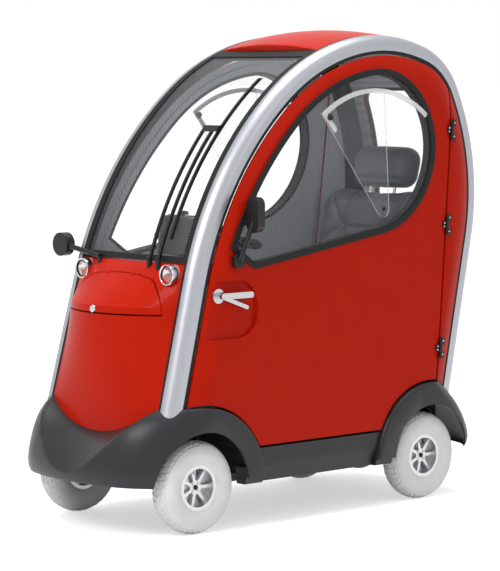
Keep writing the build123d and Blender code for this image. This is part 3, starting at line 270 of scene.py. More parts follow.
RED = (0.46, 0.011, 0.001)
TAIL_ZONES = (  # height where each colour begins, from the bottom up
    (0.0, (0.32, 0.006, 0.006, 1.0)),
    (0.645, (0.6, 0.16, 0.01, 1.0)),
    (0.685, (0.7, 0.7, 0.68, 1.0)),
)
finishes = {
    "red_paint": gloss_paint("red_gloss_paint", RED),
    "dark_moulding": grained_moulding("dark_grey_moulding", (0.022, 0.0225, 0.025), 0.34),
    "bright_trim": satin_metal("satin_silver_trim", (0.42, 0.43, 0.465), 0.4),
    "black_rubber": rubber("black_rubber", (0.009, 0.009, 0.0095)),
    "clear_glass": clear_sheet("clear_glazing", (0.62, 0.66, 0.68, 1.0), 0.04, 0.25),
    "grey_lining": ribbed_lining("grey_ribbed_lining", (0.48, 0.485, 0.525), 0.012),
    "chrome": satin_metal("polished_chrome", (0.55, 0.55, 0.56), 0.14),
    "black_metal": grained_moulding("black_coated_steel", (0.008, 0.008, 0.009), 0.36, 500.0),
    "black_plastic": grained_moulding("black_plastic", (0.01, 0.01, 0.011), 0.32),
    "tyre_grey": rubber("pale_grey_rubber", (0.76, 0.76, 0.755)),
    "rim_silver": satin_metal("silver_painted_rim", (0.6, 0.6, 0.61), 0.4),
    "seat_leather": leather("blue_grey_leather", (0.062, 0.065, 0.08)),
    "lamp_clear": clear_sheet("lamp_lens", (0.9, 0.9, 0.88, 1.0), 0.12, 0.5),
    "lamp_red": tail_lens("tail_lens", TAIL_ZONES),
}
vent_seal = clear_sheet("milky_vent_seal", (0.9, 0.9, 0.9, 1.0), 0.6, 0.3)
amber = gloss_paint("amber_bulb", (0.75, 0.22, 0.01))
mirror_glass = satin_metal("mirror_glass", (0.8, 0.82, 0.84), 0.05)
print("finishes", sorted(finishes))

# %% [markdown]
# ## Dressing the rigid pieces
# A solid model has knife edges, and a real moulding never does. Each rigid piece gets a merged copy with
# smooth shading and a small bevel, which catches the light along its edges and stands for the solid.
# Panels that are red outside are trimmed grey inside, so their inward faces take the lining's finish. The
# doors' solids fall short of the sill at their lower rear corner, and their copies are drawn down to it.

# %% What a piece needs
REMADE_NODES = (
    "seat_cushion",
    "seat_back",
    "headrest",
    "handlebar",
    "door_vent_left",
    "door_vent_right",
)
LINING_FACING = 0.6
FOOT_NEAR = 0.004
TREAD_EDGE_R = 0.1435
TREAD_DEEP = 0.003
AXLE_Z = 0.1525
WHEEL_X = 0.296
AXLE_Y = 0.525
DOOR_FEET = {  # piece of a door: its lower rear corner (y, z) and how far that goes down to the sill
    "door_panel": ((0.303, 0.3045), (-0.02, -0.0353)),
    "door_lining": ((0.289, 0.329), (-0.022, -0.034)),
}
LINED = {  # panel: how its inward side faces, along X away from the middle, along Y and along Z
    "door_panel_left": (-1, 0, 0),
    "door_panel_right": (-1, 0, 0),
    "quarter_panels": (-1, 0, 0),
    "roof_panel": (0, 0, -1),
    "rear_panel": (0, -1, 0),
}


def finish_piece(piece, body, slot, finish=None):
    """Links a piece, puts it on its body and gives it a material if it has none: the given one, else the
    slot's finish.
    """
    if not piece.data.materials:
        piece.data.materials.append(finish or finishes[slot])
    if piece.name not in scene.collection.objects:
        scene.collection.objects.link(piece)
    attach(piece, body)
    return piece


def line_inside(work, inward):
    """Gives the faces that look into the cabin the second material."""
    for face in work.faces:
        side = 1.0 if face.calc_center_median().x > 0 else -1.0
        if face.normal.dot(Vector((inward[0] * side, inward[1], inward[2]))) > LINING_FACING:
            face.material_index = 1


def square_foot(work, corner, move):
    """Draws the lower rear corner of a door down to the sill, along the fender's arch."""
    for vert in work.verts:
        if abs(vert.co.y - corner[0]) < FOOT_NEAR and abs(vert.co.z - corner[1]) < FOOT_NEAR:
            vert.co.y += move[0]
            vert.co.z += move[1]


def sink_tread(work, centre):
    """Lowers a tyre's running band, so that the tread blocks end at the real diameter."""
    for vert in work.verts:
        arm = vert.co - centre
        arm.x = 0.0
        if arm.length > TREAD_EDGE_R:
            vert.co -= arm.normalized() * TREAD_DEEP


print("panels lined inside", len(LINED))

# %% Rounded copies of the rigid pieces
EDGE = 0.0014
SHARP = radians(24)
SOFT_NODES = ("front_bumper", "rear_bumper")
SOFT_SHARP = radians(58)
MERGE = 1e-5
FLAT = radians(0.4)


def dress(node):
    """A merged, bevelled and smooth copy of a CAD piece, which replaces it."""
    mesh = nodes[node].data.copy()
    work = bmesh.new()
    work.from_mesh(mesh)
    bmesh.ops.remove_doubles(work, verts=work.verts, dist=MERGE)
    bmesh.ops.dissolve_limit(work, angle_limit=FLAT, verts=work.verts, edges=work.edges)
    is_tyre = node.startswith("tyre_")
    if is_tyre:
        low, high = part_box(node)
        sink_tread(work, (Vector(low) + Vector(high)) / 2)
    for face in work.faces:
        face.smooth = True
        face.material_index = 0
    work.normal_update()
    slot = slot_of_node[node]
    mesh.materials.clear()
    mesh.materials.append(finishes[slot])
    if node in LINED:
        line_inside(work, LINED[node])
        mesh.materials.append(finishes["grey_lining"])
    kind = node.rsplit("_", 1)[0]
    if kind in DOOR_FEET:
        square_foot(work, *DOOR_FEET[kind])
    work.to_mesh(mesh)
    work.free()
    sharp = SOFT_SHARP if node in SOFT_NODES else SHARP
    mesh.set_sharp_from_angle(angle=sharp)
    piece = bpy.data.objects.new(f"{node}_skin", mesh)
    if not is_tyre:
        rounding = piece.modifiers.new("edge", "BEVEL")
        rounding.width = EDGE
        rounding.segments = 2
        rounding.limit_method = "ANGLE"
        rounding.angle_limit = sharp
        rounding.harden_normals = True
    finish_piece(piece, body_of_node[node], slot)
    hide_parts(node)
    return piece


dressed = {node: dress(node) for node in nodes if node not in REMADE_NODES}
print("dressed", len(dressed))

# %% [markdown]
# ## Small shapes
# Knobs, caps and bulbs are turned parts: a profile of radius and height, swept round an axis. `lathe`
# makes one in a shared mesh, and `aimed` gives the matrix that stands it on a surface. `side_at` gives a
# point of the cabin's side, which leans inward by a degree and a half.

# %% Turned pieces and boxes
TURNED_SHARP = radians(40)
SIDE_LEAN = radians(1.5)
SIDE_SEAM = 0.283


def aimed(place, aim):
    """Matrix that puts the origin at a place with +Z along the aim."""
    return Matrix.Translation(Vector(place)) @ Vector(aim).to_track_quat("Z", "Y").to_matrix().to_4x4()


def ring_of(work, radius, height, matrix, segments):
    """A ring of new vertices about the matrix's Z axis."""
    turns = [tau * step / segments for step in range(segments)]
    places = [Vector((radius * cos(turn), radius * sin(turn), height)) for turn in turns]
    return [work.verts.new(matrix @ place) for place in places]


def bridge(work, lower, upper, smooth=False):
    """Joins two loops that have the same number of vertices by a band of faces."""
    for step in range(len(lower)):
        after = (step + 1) % len(lower)
        work.faces.new((lower[step], lower[after], upper[after], upper[step])).smooth = smooth


def lathe(work, profile, matrix, segments=28):
    """Adds a turned solid to a bmesh: the profile is a list of (radius, height), closed at both ends."""
    rings = [ring_of(work, radius, height, matrix, segments) for radius, height in profile]
    for end in (reversed(rings[0]), rings[-1]):
        work.faces.new(end).smooth = True
    for lower, upper in zip(rings, rings[1:]):
        bridge(work, lower, upper, smooth=True)


def turn_ring(work, profile, matrix, segments=36):
    """Adds a ring to a bmesh: the profile is a closed loop of (radius, height)."""
    rings = [ring_of(work, radius, height, matrix, segments) for radius, height in profile]
    for lower, upper in zip(rings, rings[1:] + rings[:1]):
        bridge(work, lower, upper, smooth=True)


def block(half):
    """A bmesh that holds one box of the given half sizes about the origin."""
    work = bmesh.new()
    bmesh.ops.create_cube(work, size=2.0)
    for vert in work.verts:
        vert.co = Vector((vert.co.x * half[0], vert.co.y * half[1], vert.co.z * half[2]))
    return work


def soft_block(half, edge, segments, matrix):
    """A box with rounded edges, placed by a matrix."""
    work = block(half)
    bmesh.ops.bevel(work, geom=work.edges[:], offset=edge, segments=segments, affect="EDGES", profile=0.5)
    for vert in work.verts:
        vert.co = matrix @ vert.co
    return work


def plain_mesh(name, work):
    """Turns a bmesh into a mesh and frees it."""
    mesh = bpy.data.meshes.new(name)
    work.to_mesh(mesh)
    work.free()
    return mesh


def shape(name, work, body, slot, finish=None):
    """Turns a bmesh into a piece that rides on a body."""
    bmesh.ops.recalc_face_normals(work, faces=work.faces)
    mesh = plain_mesh(name, work)
    mesh.set_sharp_from_angle(angle=TURNED_SHARP)
    return finish_piece(bpy.data.objects.new(name, mesh), body, slot, finish)


def side_at(y, z, out, side=1):
    """Point of the cabin's leaning side, from its place along the side and its distance out."""
    lean_x = cos(SIDE_LEAN) * out - sin(SIDE_LEAN) * z
    lean_z = cos(SIDE_LEAN) * z + sin(SIDE_LEAN) * out
    return Vector((side * (SIDE_SEAM + lean_x), y, lean_z))


print("cabin's side leans", round(SIDE_LEAN, 4), "rad")

# %% [markdown]
# ## Geometry Nodes that repeat a shape
# A tyre's tread is one pitch repeated round the axle, and screws are one head repeated on many points.
# Both trees take the shape as an object, realise its copies and set the material, since the model is
# kept as plain meshes. Each input is set by its identifier before the tree is first evaluated.

# %% Trees for repeats
def repeat_tree(name, sockets):
    """An empty Geometry Nodes tree with named inputs, and a function that reads them."""
    tree = bpy.data.node_groups.new(name, "GeometryNodeTree")
    for label, kind in sockets.items():
        tree.interface.new_socket(label, in_out="INPUT", socket_type=f"NodeSocket{kind}")
    tree.interface.new_socket("Geometry", in_out="OUTPUT", socket_type="NodeSocketGeometry")
    graph = Graph(tree)
    return graph, lambda label: graph.node("NodeGroupInput", out=label)


def close_tree(graph, instances, material):
    """Realises the copies, sets their material and sends them out."""
    solid = graph.node("GeometryNodeRealizeInstances", {}, {0: instances})
    painted = graph.node("GeometryNodeSetMaterial", {}, {"Geometry": solid, "Material": material})
    graph.node("NodeGroupOutput", {}, {0: painted})
    return graph.tree


def wheel_tree():
    """Copies one pitch of tread round the X axis and moves the ring to its wheel."""
    sockets = {"Pitch": "Object", "Count": "Int", "Step": "Float", "Place": "Vector"}
    graph, given = repeat_tree("tread_round_wheel", {**sockets, "Material": "Material"})
    points = graph.node("GeometryNodeMeshLine", {}, {"Count": given("Count"), "Offset": (0.0, 0.0, 0.0)})
    turn = graph.node("GeometryNodeInputIndex") * given("Step")
    spin = graph.node("ShaderNodeCombineXYZ", {}, {"X": turn})
    shape_in = graph.node("GeometryNodeObjectInfo", {}, {"Object": given("Pitch")}, out="Geometry")
    copies = {"Points": points, "Instance": shape_in, "Rotation": spin}
    ring = graph.node("GeometryNodeInstanceOnPoints", {}, copies)
    moved = graph.node("GeometryNodeTransform", {}, {"Geometry": ring, "Translation": given("Place")})
    return close_tree(graph, moved, given("Material"))


def stud_tree():
    """Copies a head onto every point of a mesh, along the point's aim and at its size."""
    sockets = {"Points": "Geometry", "Head": "Object", "Material": "Material"}
    graph, given = repeat_tree("heads_on_points", sockets)
    read = "GeometryNodeInputNamedAttribute"
    aim = graph.node(read, {"data_type": "FLOAT_VECTOR"}, {"Name": "aim"})
    size = graph.node(read, {"data_type": "FLOAT"}, {"Name": "size"})
    turn = graph.node("FunctionNodeAlignRotationToVector", {"axis": "Z"}, {"Vector": aim})
    head = graph.node("GeometryNodeObjectInfo", {}, {"Object": given("Head")}, out="Geometry")
    copies = {"Points": given("Points"), "Instance": head, "Rotation": turn, "Scale": size}
    return close_tree(graph, graph.node("GeometryNodeInstanceOnPoints", {}, copies), given("Material"))


def made_mesh(maker):
    """The mesh of an object as its modifiers leave it."""
    return bpy.data.meshes.new_from_object(maker.evaluated_get(bpy.context.evaluated_depsgraph_get()))


def grow(name, tree, values, carrier_mesh=None):
    """Runs a tree on a carrier object and gives the result as a plain mesh."""
    carrier_mesh = carrier_mesh or bpy.data.meshes.new(f"{name}_carrier")
    carrier = bpy.data.objects.new(f"{name}_carrier", carrier_mesh)
    scene.collection.objects.link(carrier)
    maker = carrier.modifiers.new("repeat", "NODES")
    maker.node_group = tree
    for item in tree.interface.items_tree:
        if item.in_out == "INPUT" and item.name in values:
            maker[item.identifier] = values[item.name]
    bpy.context.view_layer.update()
    mesh = made_mesh(carrier)
    carrier.modifiers.remove(maker)
    bpy.data.objects.remove(carrier)
    mesh.name = name
    return bpy.data.objects.new(name, mesh)


def pattern(name, work):
    """An object outside the scene that holds the shape to be repeated; it is deleted after use."""
    bmesh.ops.recalc_face_normals(work, faces=work.faces)
    return bpy.data.objects.new(name, plain_mesh(name, work))


tread = wheel_tree()
studs = stud_tree()
print("trees", tread.name, studs.name)

# %% [markdown]
# ## Tread
# The tyres have skewed blocks in four rows. Each block follows the crown of the tyre, so its top is
# worked out from the same arc, and its walls have a little draft. Forty pitches go round the wheel.

# %% Tread blocks
PITCHES = 40
CROWN_R = 0.0579
RUN_R = 0.1525
BLOCK_ROWS = ((0.002, 0.0145), (0.017, 0.0305))  # inner and outer edge from the middle
BLOCK_HALF = 0.0083
SKEW = tan(radians(24))
DRAFT = 0.0009
ROOT_DEEP = TREAD_DEEP + 0.0015
OUTER_SHIFT = 0.004


def crown(x):
    """Radius of the tyre at a distance from its middle."""
    return RUN_R - CROWN_R + sqrt(CROWN_R**2 - x**2)


tread_work = bmesh.new()
for side in (-1, 1):
    for inner, outer in BLOCK_ROWS:
        corners = []
        shift = OUTER_SHIFT if outer == BLOCK_ROWS[-1][1] else 0.0
        for drop, draft in ((0.0, DRAFT), (ROOT_DEEP, -DRAFT)):
            for edge, run in ((inner, -1), (outer, -1), (outer, 1), (inner, 1)):
                x = edge + (draft if edge == inner else -draft)
                along = run * (BLOCK_HALF - draft) + (x - inner) * SKEW + shift
                corners.append(tread_work.verts.new((side * x, along, crown(x) - drop)))
        top, base = corners[:4], corners[4:]
        tread_work.faces.new(top)
        tread_work.faces.new(reversed(base))
        bridge(tread_work, base, top)
pitch = pattern("tread_pitch", tread_work)
WHEELS = (  # corner, sign along X, sign along Y
    ("front_left", 1, -1),
    ("front_right", -1, -1),
    ("rear_left", 1, 1),
    ("rear_right", -1, 1),
)
for corner, x_sign, y_sign in WHEELS:
    values = {
        "Pitch": pitch,
        "Count": PITCHES,
        "Step": tau / PITCHES,
        "Place": (x_sign * WHEEL_X, y_sign * AXLE_Y, AXLE_Z),
        "Material": finishes["tyre_grey"],
    }
    ring = grow(f"tread_{corner}", tread, values)
    finish_piece(ring, f"{corner}_wheel", "tyre_grey")
bpy.data.objects.remove(pitch)
print("tread blocks", len(BLOCK_ROWS) * 2 * PITCHES, "on each tyre")

# %% [markdown]
# ## Screws and nuts
# Hinge leaves are held by screws and each wheel by nuts round its hub. All of them are one turned head
# with a socket in it, put on points that carry an aim and a size. One mesh is made for each body.

# %% Heads on points
HEAD_PROFILE = ((1.0, -0.3), (1.0, 0.3), (0.82, 0.55), (0.5, 0.6), (0.44, 0.25))
HINGE_HEIGHTS = (0.529, 0.960, 1.292)
HINGE_FOOT_Y = 0.527
HINGE_SLOPE = tan(radians(5.5))
LEAF_OUT = 0.0843
LEAF_SCREW = 0.0125
DOOR_LIFTS = (-0.006, 0.006)
BODY_LIFTS = (-0.024, 0.024)
SCREW_R = 0.0032
HUB_FACE = 0.312
NUT_RING = 0.0165
NUT_R = 0.0045
NUTS = 4
HANDS = (("left", 1), ("right", -1))  # and its sign along X

head_work = bmesh.new()
lathe(head_work, HEAD_PROFILE, Matrix.Identity(4), 10)
screw_head = pattern("screw_head", head_work)


def put_heads(name, rows, body, slot, head):
    """Puts a head on each (place, aim, radius) row, as one piece of a body."""
    places, aims, sizes = zip(*rows)
    mesh = bpy.data.meshes.new(f"{name}_points")
    mesh.from_pydata(list(places), [], [])
    mesh.attributes.new("aim", "FLOAT_VECTOR", "POINT")
    mesh.attributes.new("size", "FLOAT", "POINT")
    for index, (aim, size) in enumerate(zip(aims, sizes)):
        mesh.attributes["aim"].data[index].vector = aim
        mesh.attributes["size"].data[index].value = size
    piece = grow(name, studs, {"Head": head, "Material": finishes[slot]}, mesh)
    return finish_piece(piece, body, slot)


def leaf_screws(side, back, lifts):
    """Rows for the screws of the hinge leaves on one side of the hinge line."""
    rows = []
    for height in HINGE_HEIGHTS:
        for z in (height + lift for lift in lifts):
            y = HINGE_FOOT_Y + HINGE_SLOPE * z + back
            rows.append((side_at(y, z, LEAF_OUT, side), (side, 0.0, 0.0), SCREW_R))
    return rows


for hand, side in HANDS:
    rows = leaf_screws(side, -LEAF_SCREW, DOOR_LIFTS)
    put_heads(f"door_hinge_screws_{hand}", rows, f"{hand}_door", "chrome", screw_head)
body_screws = leaf_screws(-1, LEAF_SCREW, BODY_LIFTS) + leaf_screws(1, LEAF_SCREW, BODY_LIFTS)
put_heads("body_hinge_screws", body_screws, "chassis", "chrome", screw_head)
for corner, x_sign, y_sign in WHEELS:
    rows = []
    for nut in range(NUTS):
        turn = tau * (nut + 0.5) / NUTS
        y = y_sign * AXLE_Y + NUT_RING * cos(turn)
        z = AXLE_Z + NUT_RING * sin(turn)
        rows.append(((x_sign * HUB_FACE, y, z), (x_sign, 0.0, 0.0), NUT_R))
    put_heads(f"wheel_nuts_{corner}", rows, f"{corner}_wheel", "chrome", screw_head)
bpy.data.objects.remove(screw_head)
print("screws", len(body_screws) * 2, "nuts", NUTS * len(WHEELS))

# %% [markdown]
# ## Hub caps, valves and dishes
# A small domed cap closes each hub, a valve stem stands inside the rim's barrel, and a shallow dish
# behind the spokes closes the wheel.

# %% Caps
CAP_PROFILE = ((0.0085, -0.002), (0.0085, 0.002), (0.007, 0.0045), (0.004, 0.0058), (0.001, 0.0062))
VALVE_PROFILE = ((0.0028, 0.0), (0.0028, 0.014), (0.0036, 0.0145), (0.0036, 0.022), (0.002, 0.0235))
VALVE_FOOT = (0.004, 0.064)  # out from the hub's face and up from the axle
VALVE_LEAN = 0.35
DISH = ((0.0225, 0.0), (0.0632, -0.004), (0.0632, -0.001), (0.0225, 0.003))
DISH_X = 0.294
for corner, x_sign, y_sign in WHEELS:
    work = bmesh.new()
    hub = Vector((x_sign * HUB_FACE, y_sign * AXLE_Y, AXLE_Z))
    lathe(work, CAP_PROFILE, aimed(hub, (x_sign, 0, 0)), 20)
    root = hub + Vector((x_sign * VALVE_FOOT[0], 0.0, VALVE_FOOT[1]))
    lathe(work, VALVE_PROFILE, aimed(root, (x_sign * VALVE_LEAN, 0, -1)), 12)
    shape(f"hub_cap_{corner}", work, f"{corner}_wheel", "black_plastic")
for corner, x_sign, y_sign in WHEELS:
    work = bmesh.new()
    place = aimed((x_sign * DISH_X, y_sign * AXLE_Y, AXLE_Z), (x_sign, 0, 0))
    turn_ring(work, DISH, place, 40)
    shape(f"rim_dish_{corner}", work, f"{corner}_wheel", "rim_silver")
print("hub caps", len(WHEELS))

# %% [markdown]
# ## Padding
# The seat is foam in a sewn cover, so it bulges between its seams and is flat only where it rests. A
# rounded block is remeshed, shrunk a little and blown up as cloth. Cloth draws its edges in as it swells,
# so the block starts wider than the pad; the movement is capped, so the pad keeps its place. Buttons and
# the folds that run to them are pressed in afterwards.

# %% Blowing up a pad
VOXEL = 0.006
PRESSURE = 4.0
CLOTH_FRAMES = 20
CLOTH_QUALITY = 4
CLOTH_STIFF = 12
RIM_ANGLE = radians(60)


def pad_block(half, middle, corner, edge, matrix):
    """A block with rounded corners in plan and softened edges, placed by a matrix."""
    work = block(half)
    upright = [e for e in work.edges if abs((e.verts[0].co - e.verts[1].co).z) > half[2]]
    bmesh.ops.bevel(work, geom=upright, offset=corner, segments=8, affect="EDGES", profile=0.5)
    rims = [e for e in work.edges if abs(e.verts[0].co.z - e.verts[1].co.z) < 1e-6]
    rims = [e for e in rims if len(e.link_faces) == 2 and e.calc_face_angle() > RIM_ANGLE]
    bmesh.ops.bevel(work, geom=rims, offset=edge, segments=5, affect="EDGES", profile=0.5)
    for vert in work.verts:
        vert.co = matrix @ (vert.co + Vector(middle))
    return plain_mesh("pad_block", work)


def blow_up(name, mesh, shrink, cap):
    """Remeshes a block, shrinks it and lets cloth pressure swell it, with a cap on the movement."""
    piece = bpy.data.objects.new(name, mesh)
    scene.collection.objects.link(piece)
    remesh = piece.modifiers.new("remesh", "REMESH")
    remesh.mode = "VOXEL"
    remesh.voxel_size = VOXEL
    skin = made_mesh(piece)
    piece.modifiers.remove(remesh)
    piece.data = skin
    skin.name = name
    normals = [vert.normal.copy() for vert in skin.vertices]
    for vert, normal in zip(skin.vertices, normals):
        vert.co -= normal * shrink
    start = [vert.co.copy() for vert in skin.vertices]
    cloth = piece.modifiers.new("cloth", "CLOTH")
    cloth.settings.quality = CLOTH_QUALITY
    cloth.settings.tension_stiffness = CLOTH_STIFF
    cloth.settings.compression_stiffness = CLOTH_STIFF
    cloth.settings.use_pressure = True
    cloth.settings.uniform_pressure_force = PRESSURE
    cloth.settings.effector_weights.gravity = 0.0
    cloth.point_cache.frame_start = 1
    cloth.point_cache.frame_end = CLOTH_FRAMES
    for step in range(1, CLOTH_FRAMES + 1):
        scene.frame_set(step)
    evaluated = piece.evaluated_get(bpy.context.evaluated_depsgraph_get())
    swollen = [vert.co.copy() for vert in evaluated.data.vertices]
    piece.modifiers.remove(cloth)
    scene.frame_set(1)
    for vert, place, blown in zip(skin.vertices, start, swollen):
        move = blown - place
        if move.length > cap:
            move = move.normalized() * cap
        vert.co = place + move
    for face in skin.polygons:
        face.use_smooth = True
    return piece


print("cloth frames", CLOTH_FRAMES)

# %% Pressing in buttons and folds
BUTTON_DEEP = 0.02
BUTTON_REACH = 0.0011  # square metres, as the depth falls off with the square of the distance
FOLD_GAIN = 1.8
FOLD_REACH = 0.00009
DEEPEST = 0.024
FRONT_FACING = 0.25
FACING_GAIN = 1.4


def fold_depth(point, buttons, folds):
    """How far a fold or a button is pressed in at a point of the pad's front."""
    depth = 0.0
    for u, v in buttons:
        reach = (point.x - u) ** 2 + (point.y - v) ** 2
        depth += BUTTON_DEEP * exp(-reach / BUTTON_REACH)
    for first, last, deep in folds:
        begin = Vector(first)
        run = Vector(last) - begin
        along = max(0.0, min(1.0, (point - begin).dot(run) / run.length_squared))
        away = (point - begin - run * along).length_squared
        depth += FOLD_GAIN * deep * exp(-away / FOLD_REACH)
    return min(depth, DEEPEST)


def press_in(piece, plane, buttons, folds):
    """Presses buttons and folds into the front of a pad; the plane's +Z is its front."""
    back = plane.inverted()
    turn = back.to_3x3()
    aim = plane.to_3x3() @ Vector((0.0, 0.0, 1.0))
    for vert in piece.data.vertices:
        facing = (turn @ vert.normal).z
        if facing > FRONT_FACING:
            local = back @ vert.co
            share = min(1.0, facing * FACING_GAIN)
            vert.co -= aim * fold_depth(local.to_2d(), buttons, folds) * share


def finish_pad(piece, node):
    """Smooths a pad once and lets it stand for its solid."""
    smooth = piece.modifiers.new("smooth", "SUBSURF")
    smooth.levels = 1
    smooth.render_levels = 1
    finish_piece(piece, "chassis", "seat_leather")
    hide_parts(node)


print("deepest fold", DEEPEST)

# %% The three pads
BACK_LEAN = radians(14)
BACK_ROOT = Vector((0.0, 0.4452, 0.472))
back_axes = Matrix(
    ((1, 0, 0), (0, sin(BACK_LEAN), -cos(BACK_LEAN)), (0, cos(BACK_LEAN), sin(BACK_LEAN)))
)
BACK = Matrix.Translation(BACK_ROOT) @ back_axes.to_4x4()
SEAT_TOP = Matrix.Translation((0.0, 0.0, 0.5573))
PADS = (  # node, half sizes, middle, corner and edge rounding, place, shrink, cap, how full
    ("seat_cushion", (0.232, 0.225, 0.0525), (0, 0.23, -0.0525), 0.06, 0.03, SEAT_TOP, 0.004, 0.016, 0.8),
    ("seat_back", (0.27, 0.324, 0.05), (0.0, 0.312, -0.05), 0.09, 0.035, BACK, 0.002, 0.02, 0.7),
    ("headrest", (0.146, 0.075, 0.046), (0.0, 0.715, -0.0475), 0.05, 0.04, BACK, 0.002, 0.008, 0.8),
)
BACK_BUTTONS = ((-0.124, 0.477), (0.124, 0.477), (0.0, 0.335), (-0.124, 0.19), (0.124, 0.19))
HALF_FOLDS = (  # one half's folds: from, to, depth, in the backrest's own plane
    ((-0.124, 0.477), (0.0, 0.335), 0.006),
    ((0.0, 0.335), (-0.124, 0.19), 0.006),
    ((-0.124, 0.477), (-0.1, 0.61), 0.004),
    ((-0.124, 0.477), (-0.225, 0.42), 0.005),
    ((-0.124, 0.477), (-0.21, 0.3), 0.005),
    ((-0.124, 0.19), (-0.21, 0.3), 0.005),
    ((-0.124, 0.19), (-0.124, 0.03), 0.005),
)
TOP_FOLDS = (  # the folds to the upper corners differ a little, as sewn ones do
    ((-0.124, 0.477), (0.124, 0.477), 0.004),
    ((-0.124, 0.477), (-0.19, 0.6), 0.006),
    ((0.124, 0.477), (0.185, 0.6), 0.006),
)
other_half = tuple(((-u, v), (-to_u, to_v), deep) for (u, v), (to_u, to_v), deep in HALF_FOLDS)
BACK_FOLDS = TOP_FOLDS + HALF_FOLDS + other_half
CUSHION_FOLDS = (  # from, to, depth, seen from above
    ((-0.2, 0.13), (0.2, 0.13), 0.006),
    ((-0.2, 0.3), (0.2, 0.3), 0.006),
    ((0.0, 0.13), (0.0, 0.3), 0.004),
)
HEAD_FOLDS = (  # from, to, depth, in the backrest's plane
    ((-0.128, 0.665), (0.128, 0.665), 0.003),
    ((0.11, 0.63), (0.11, 0.77), 0.002),
    ((-0.11, 0.63), (-0.11, 0.77), 0.002),
)
CREASES = {  # node: the plane of its front, its buttons and its folds
    "seat_cushion": (SEAT_TOP, (), CUSHION_FOLDS),
    "seat_back": (BACK, BACK_BUTTONS, BACK_FOLDS),
    "headrest": (BACK, (), HEAD_FOLDS),
}
for node, half, middle, corner_r, edge_r, place, shrink, cap, fill in PADS:
    pad = blow_up(f"{node}_pad", pad_block(half, middle, corner_r, edge_r, place), shrink, cap)
    press_in(pad, *CREASES[node])
    if node == "seat_cushion":
        floor_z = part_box(node)[0][2]
        for vert in pad.data.vertices:
            vert.co.z = max(vert.co.z, floor_z)
    finish_pad(pad, node)
    print(node, "points", len(pad.data.vertices))

# %% [markdown]
# ## Seat buttons and headrest posts
# Covered buttons hold the folds, and two steel posts carry the headrest above the backrest.

# %% Buttons and posts
BUTTON_PROFILE = ((0.0095, -0.004), (0.0095, 0.001), (0.0085, 0.003), (0.005, 0.0045), (0.0015, 0.005))
BUTTON_SUNK = 0.003
POST_PROFILE = ((0.006, -0.02), (0.006, 0.12))
POST_FOOT = (0.06, 0.575, -0.0475)  # in the backrest's plane
work = bmesh.new()
for u, v in BACK_BUTTONS:
    lathe(work, BUTTON_PROFILE, BACK @ Matrix.Translation((u, v, -BUTTON_SUNK)), 16)
shape("seat_buttons", work, "chassis", "seat_leather")
work = bmesh.new()
for side in (-1, 1):
    foot = BACK @ Vector((side * POST_FOOT[0], POST_FOOT[1], POST_FOOT[2]))
    lathe(work, POST_PROFILE, aimed(foot, BACK.to_3x3() @ Vector((0, 1, 0))), 16)
shape("headrest_posts", work, "chassis", "chrome")
print("buttons", len(BACK_BUTTONS))

# %% [markdown]
# ## Lamps, mirrors and lock
# A lamp is a bright bowl behind a clear lens, with its bulb and an amber capsule for the indicator. The
# mirrors get their glass, and the lid its small round lock.

# %% Lamps
LAMP_AT = (0.219, -0.562, 0.838)  # middle of the left lens
BOWL_OFF = (0.0, 0.02, 0.0)  # offsets from it, with +X away from the vehicle's middle
BULB_OFF = (-0.006, 0.018, 0.007)
AMBER_OFF = (0.012, 0.013, -0.009)
BEZEL_OFF = (0.0, -0.003, 0.0)
BOWL_BACK = ((0.006, -0.003), (0.014, 0.0), (0.022, 0.006), (0.0285, 0.016))
BOWL = BOWL_BACK + ((0.0285, 0.0175), (0.021, 0.0075), (0.013, 0.0015), (0.005, -0.001))
BEZEL_SIDE = ((0.0325, -0.02), (0.0345, -0.019), (0.0352, 0.0))
BEZEL = BEZEL_SIDE + ((0.0345, 0.0045), (0.0325, 0.0055), (0.0305, 0.0045))
BEZEL_RIM = BEZEL + tuple((radius - 0.0015, height - 0.001) for radius, height in reversed(BEZEL))
BULB = ((0.003, 0.0), (0.005, 0.004), (0.0055, 0.009), (0.004, 0.0125), (0.0015, 0.014))


def at_lamp(side, offset):
    """Matrix that aims forward from a place at the lamp of one side."""
    x, y, z = Vector(LAMP_AT) + Vector(offset)
    return aimed((side * x, y, z), (0, -1, 0))


bowls = bmesh.new()
bezels = bmesh.new()
ambers = bmesh.new()
for side in (-1, 1):
    lathe(bowls, BOWL, at_lamp(side, BOWL_OFF), 32)
    lathe(bowls, BULB, at_lamp(side, BULB_OFF), 16)
    lathe(ambers, BULB, at_lamp(side, AMBER_OFF), 16)
    turn_ring(bezels, BEZEL_RIM, at_lamp(side, BEZEL_OFF))
shape("lamp_bowls", bowls, "chassis", "chrome")
shape("lamp_bezels", bezels, "chassis", "chrome")
shape("lamp_bulbs", ambers, "chassis", "lamp_red", amber)
print("lamps", 2)

# %% Mirror glasses and lock
DOOR_GLASS_AT = (0.377, -0.302, 1.0319)
DOOR_GLASS = (0.0205, 0.052)  # half its width and half its height
GLASS_EDGE = ((1.0, 0.0), (1.0, 0.6), (0.97, 0.9), (0.9, 1.0))
GLASS_THICK = 0.0014
COWL_GLASS_AT = (-0.365, -0.5132, 0.910)
COWL_GLASS_R = 0.0355
LOCK_AT = (0.0, -0.696, 0.7235)
LOCK = ((0.0125, -0.006), (0.0125, 0.002), (0.0112, 0.0042), (0.0075, 0.0046), (0.0065, 0.0034))
work = bmesh.new()
lathe(work, GLASS_EDGE, Matrix.Identity(4), 40)
half_wide, half_tall = DOOR_GLASS
for vert in work.verts:
    x, y, z = vert.co
    lift = (half_tall - half_wide) * (1 if y > 0 else -1)
    vert.co = Vector(DOOR_GLASS_AT) + Vector((x * half_wide, z * GLASS_THICK, y * half_wide + lift))
shape("door_mirror_glass", work, "left_door", "chrome", mirror_glass)
work = bmesh.new()
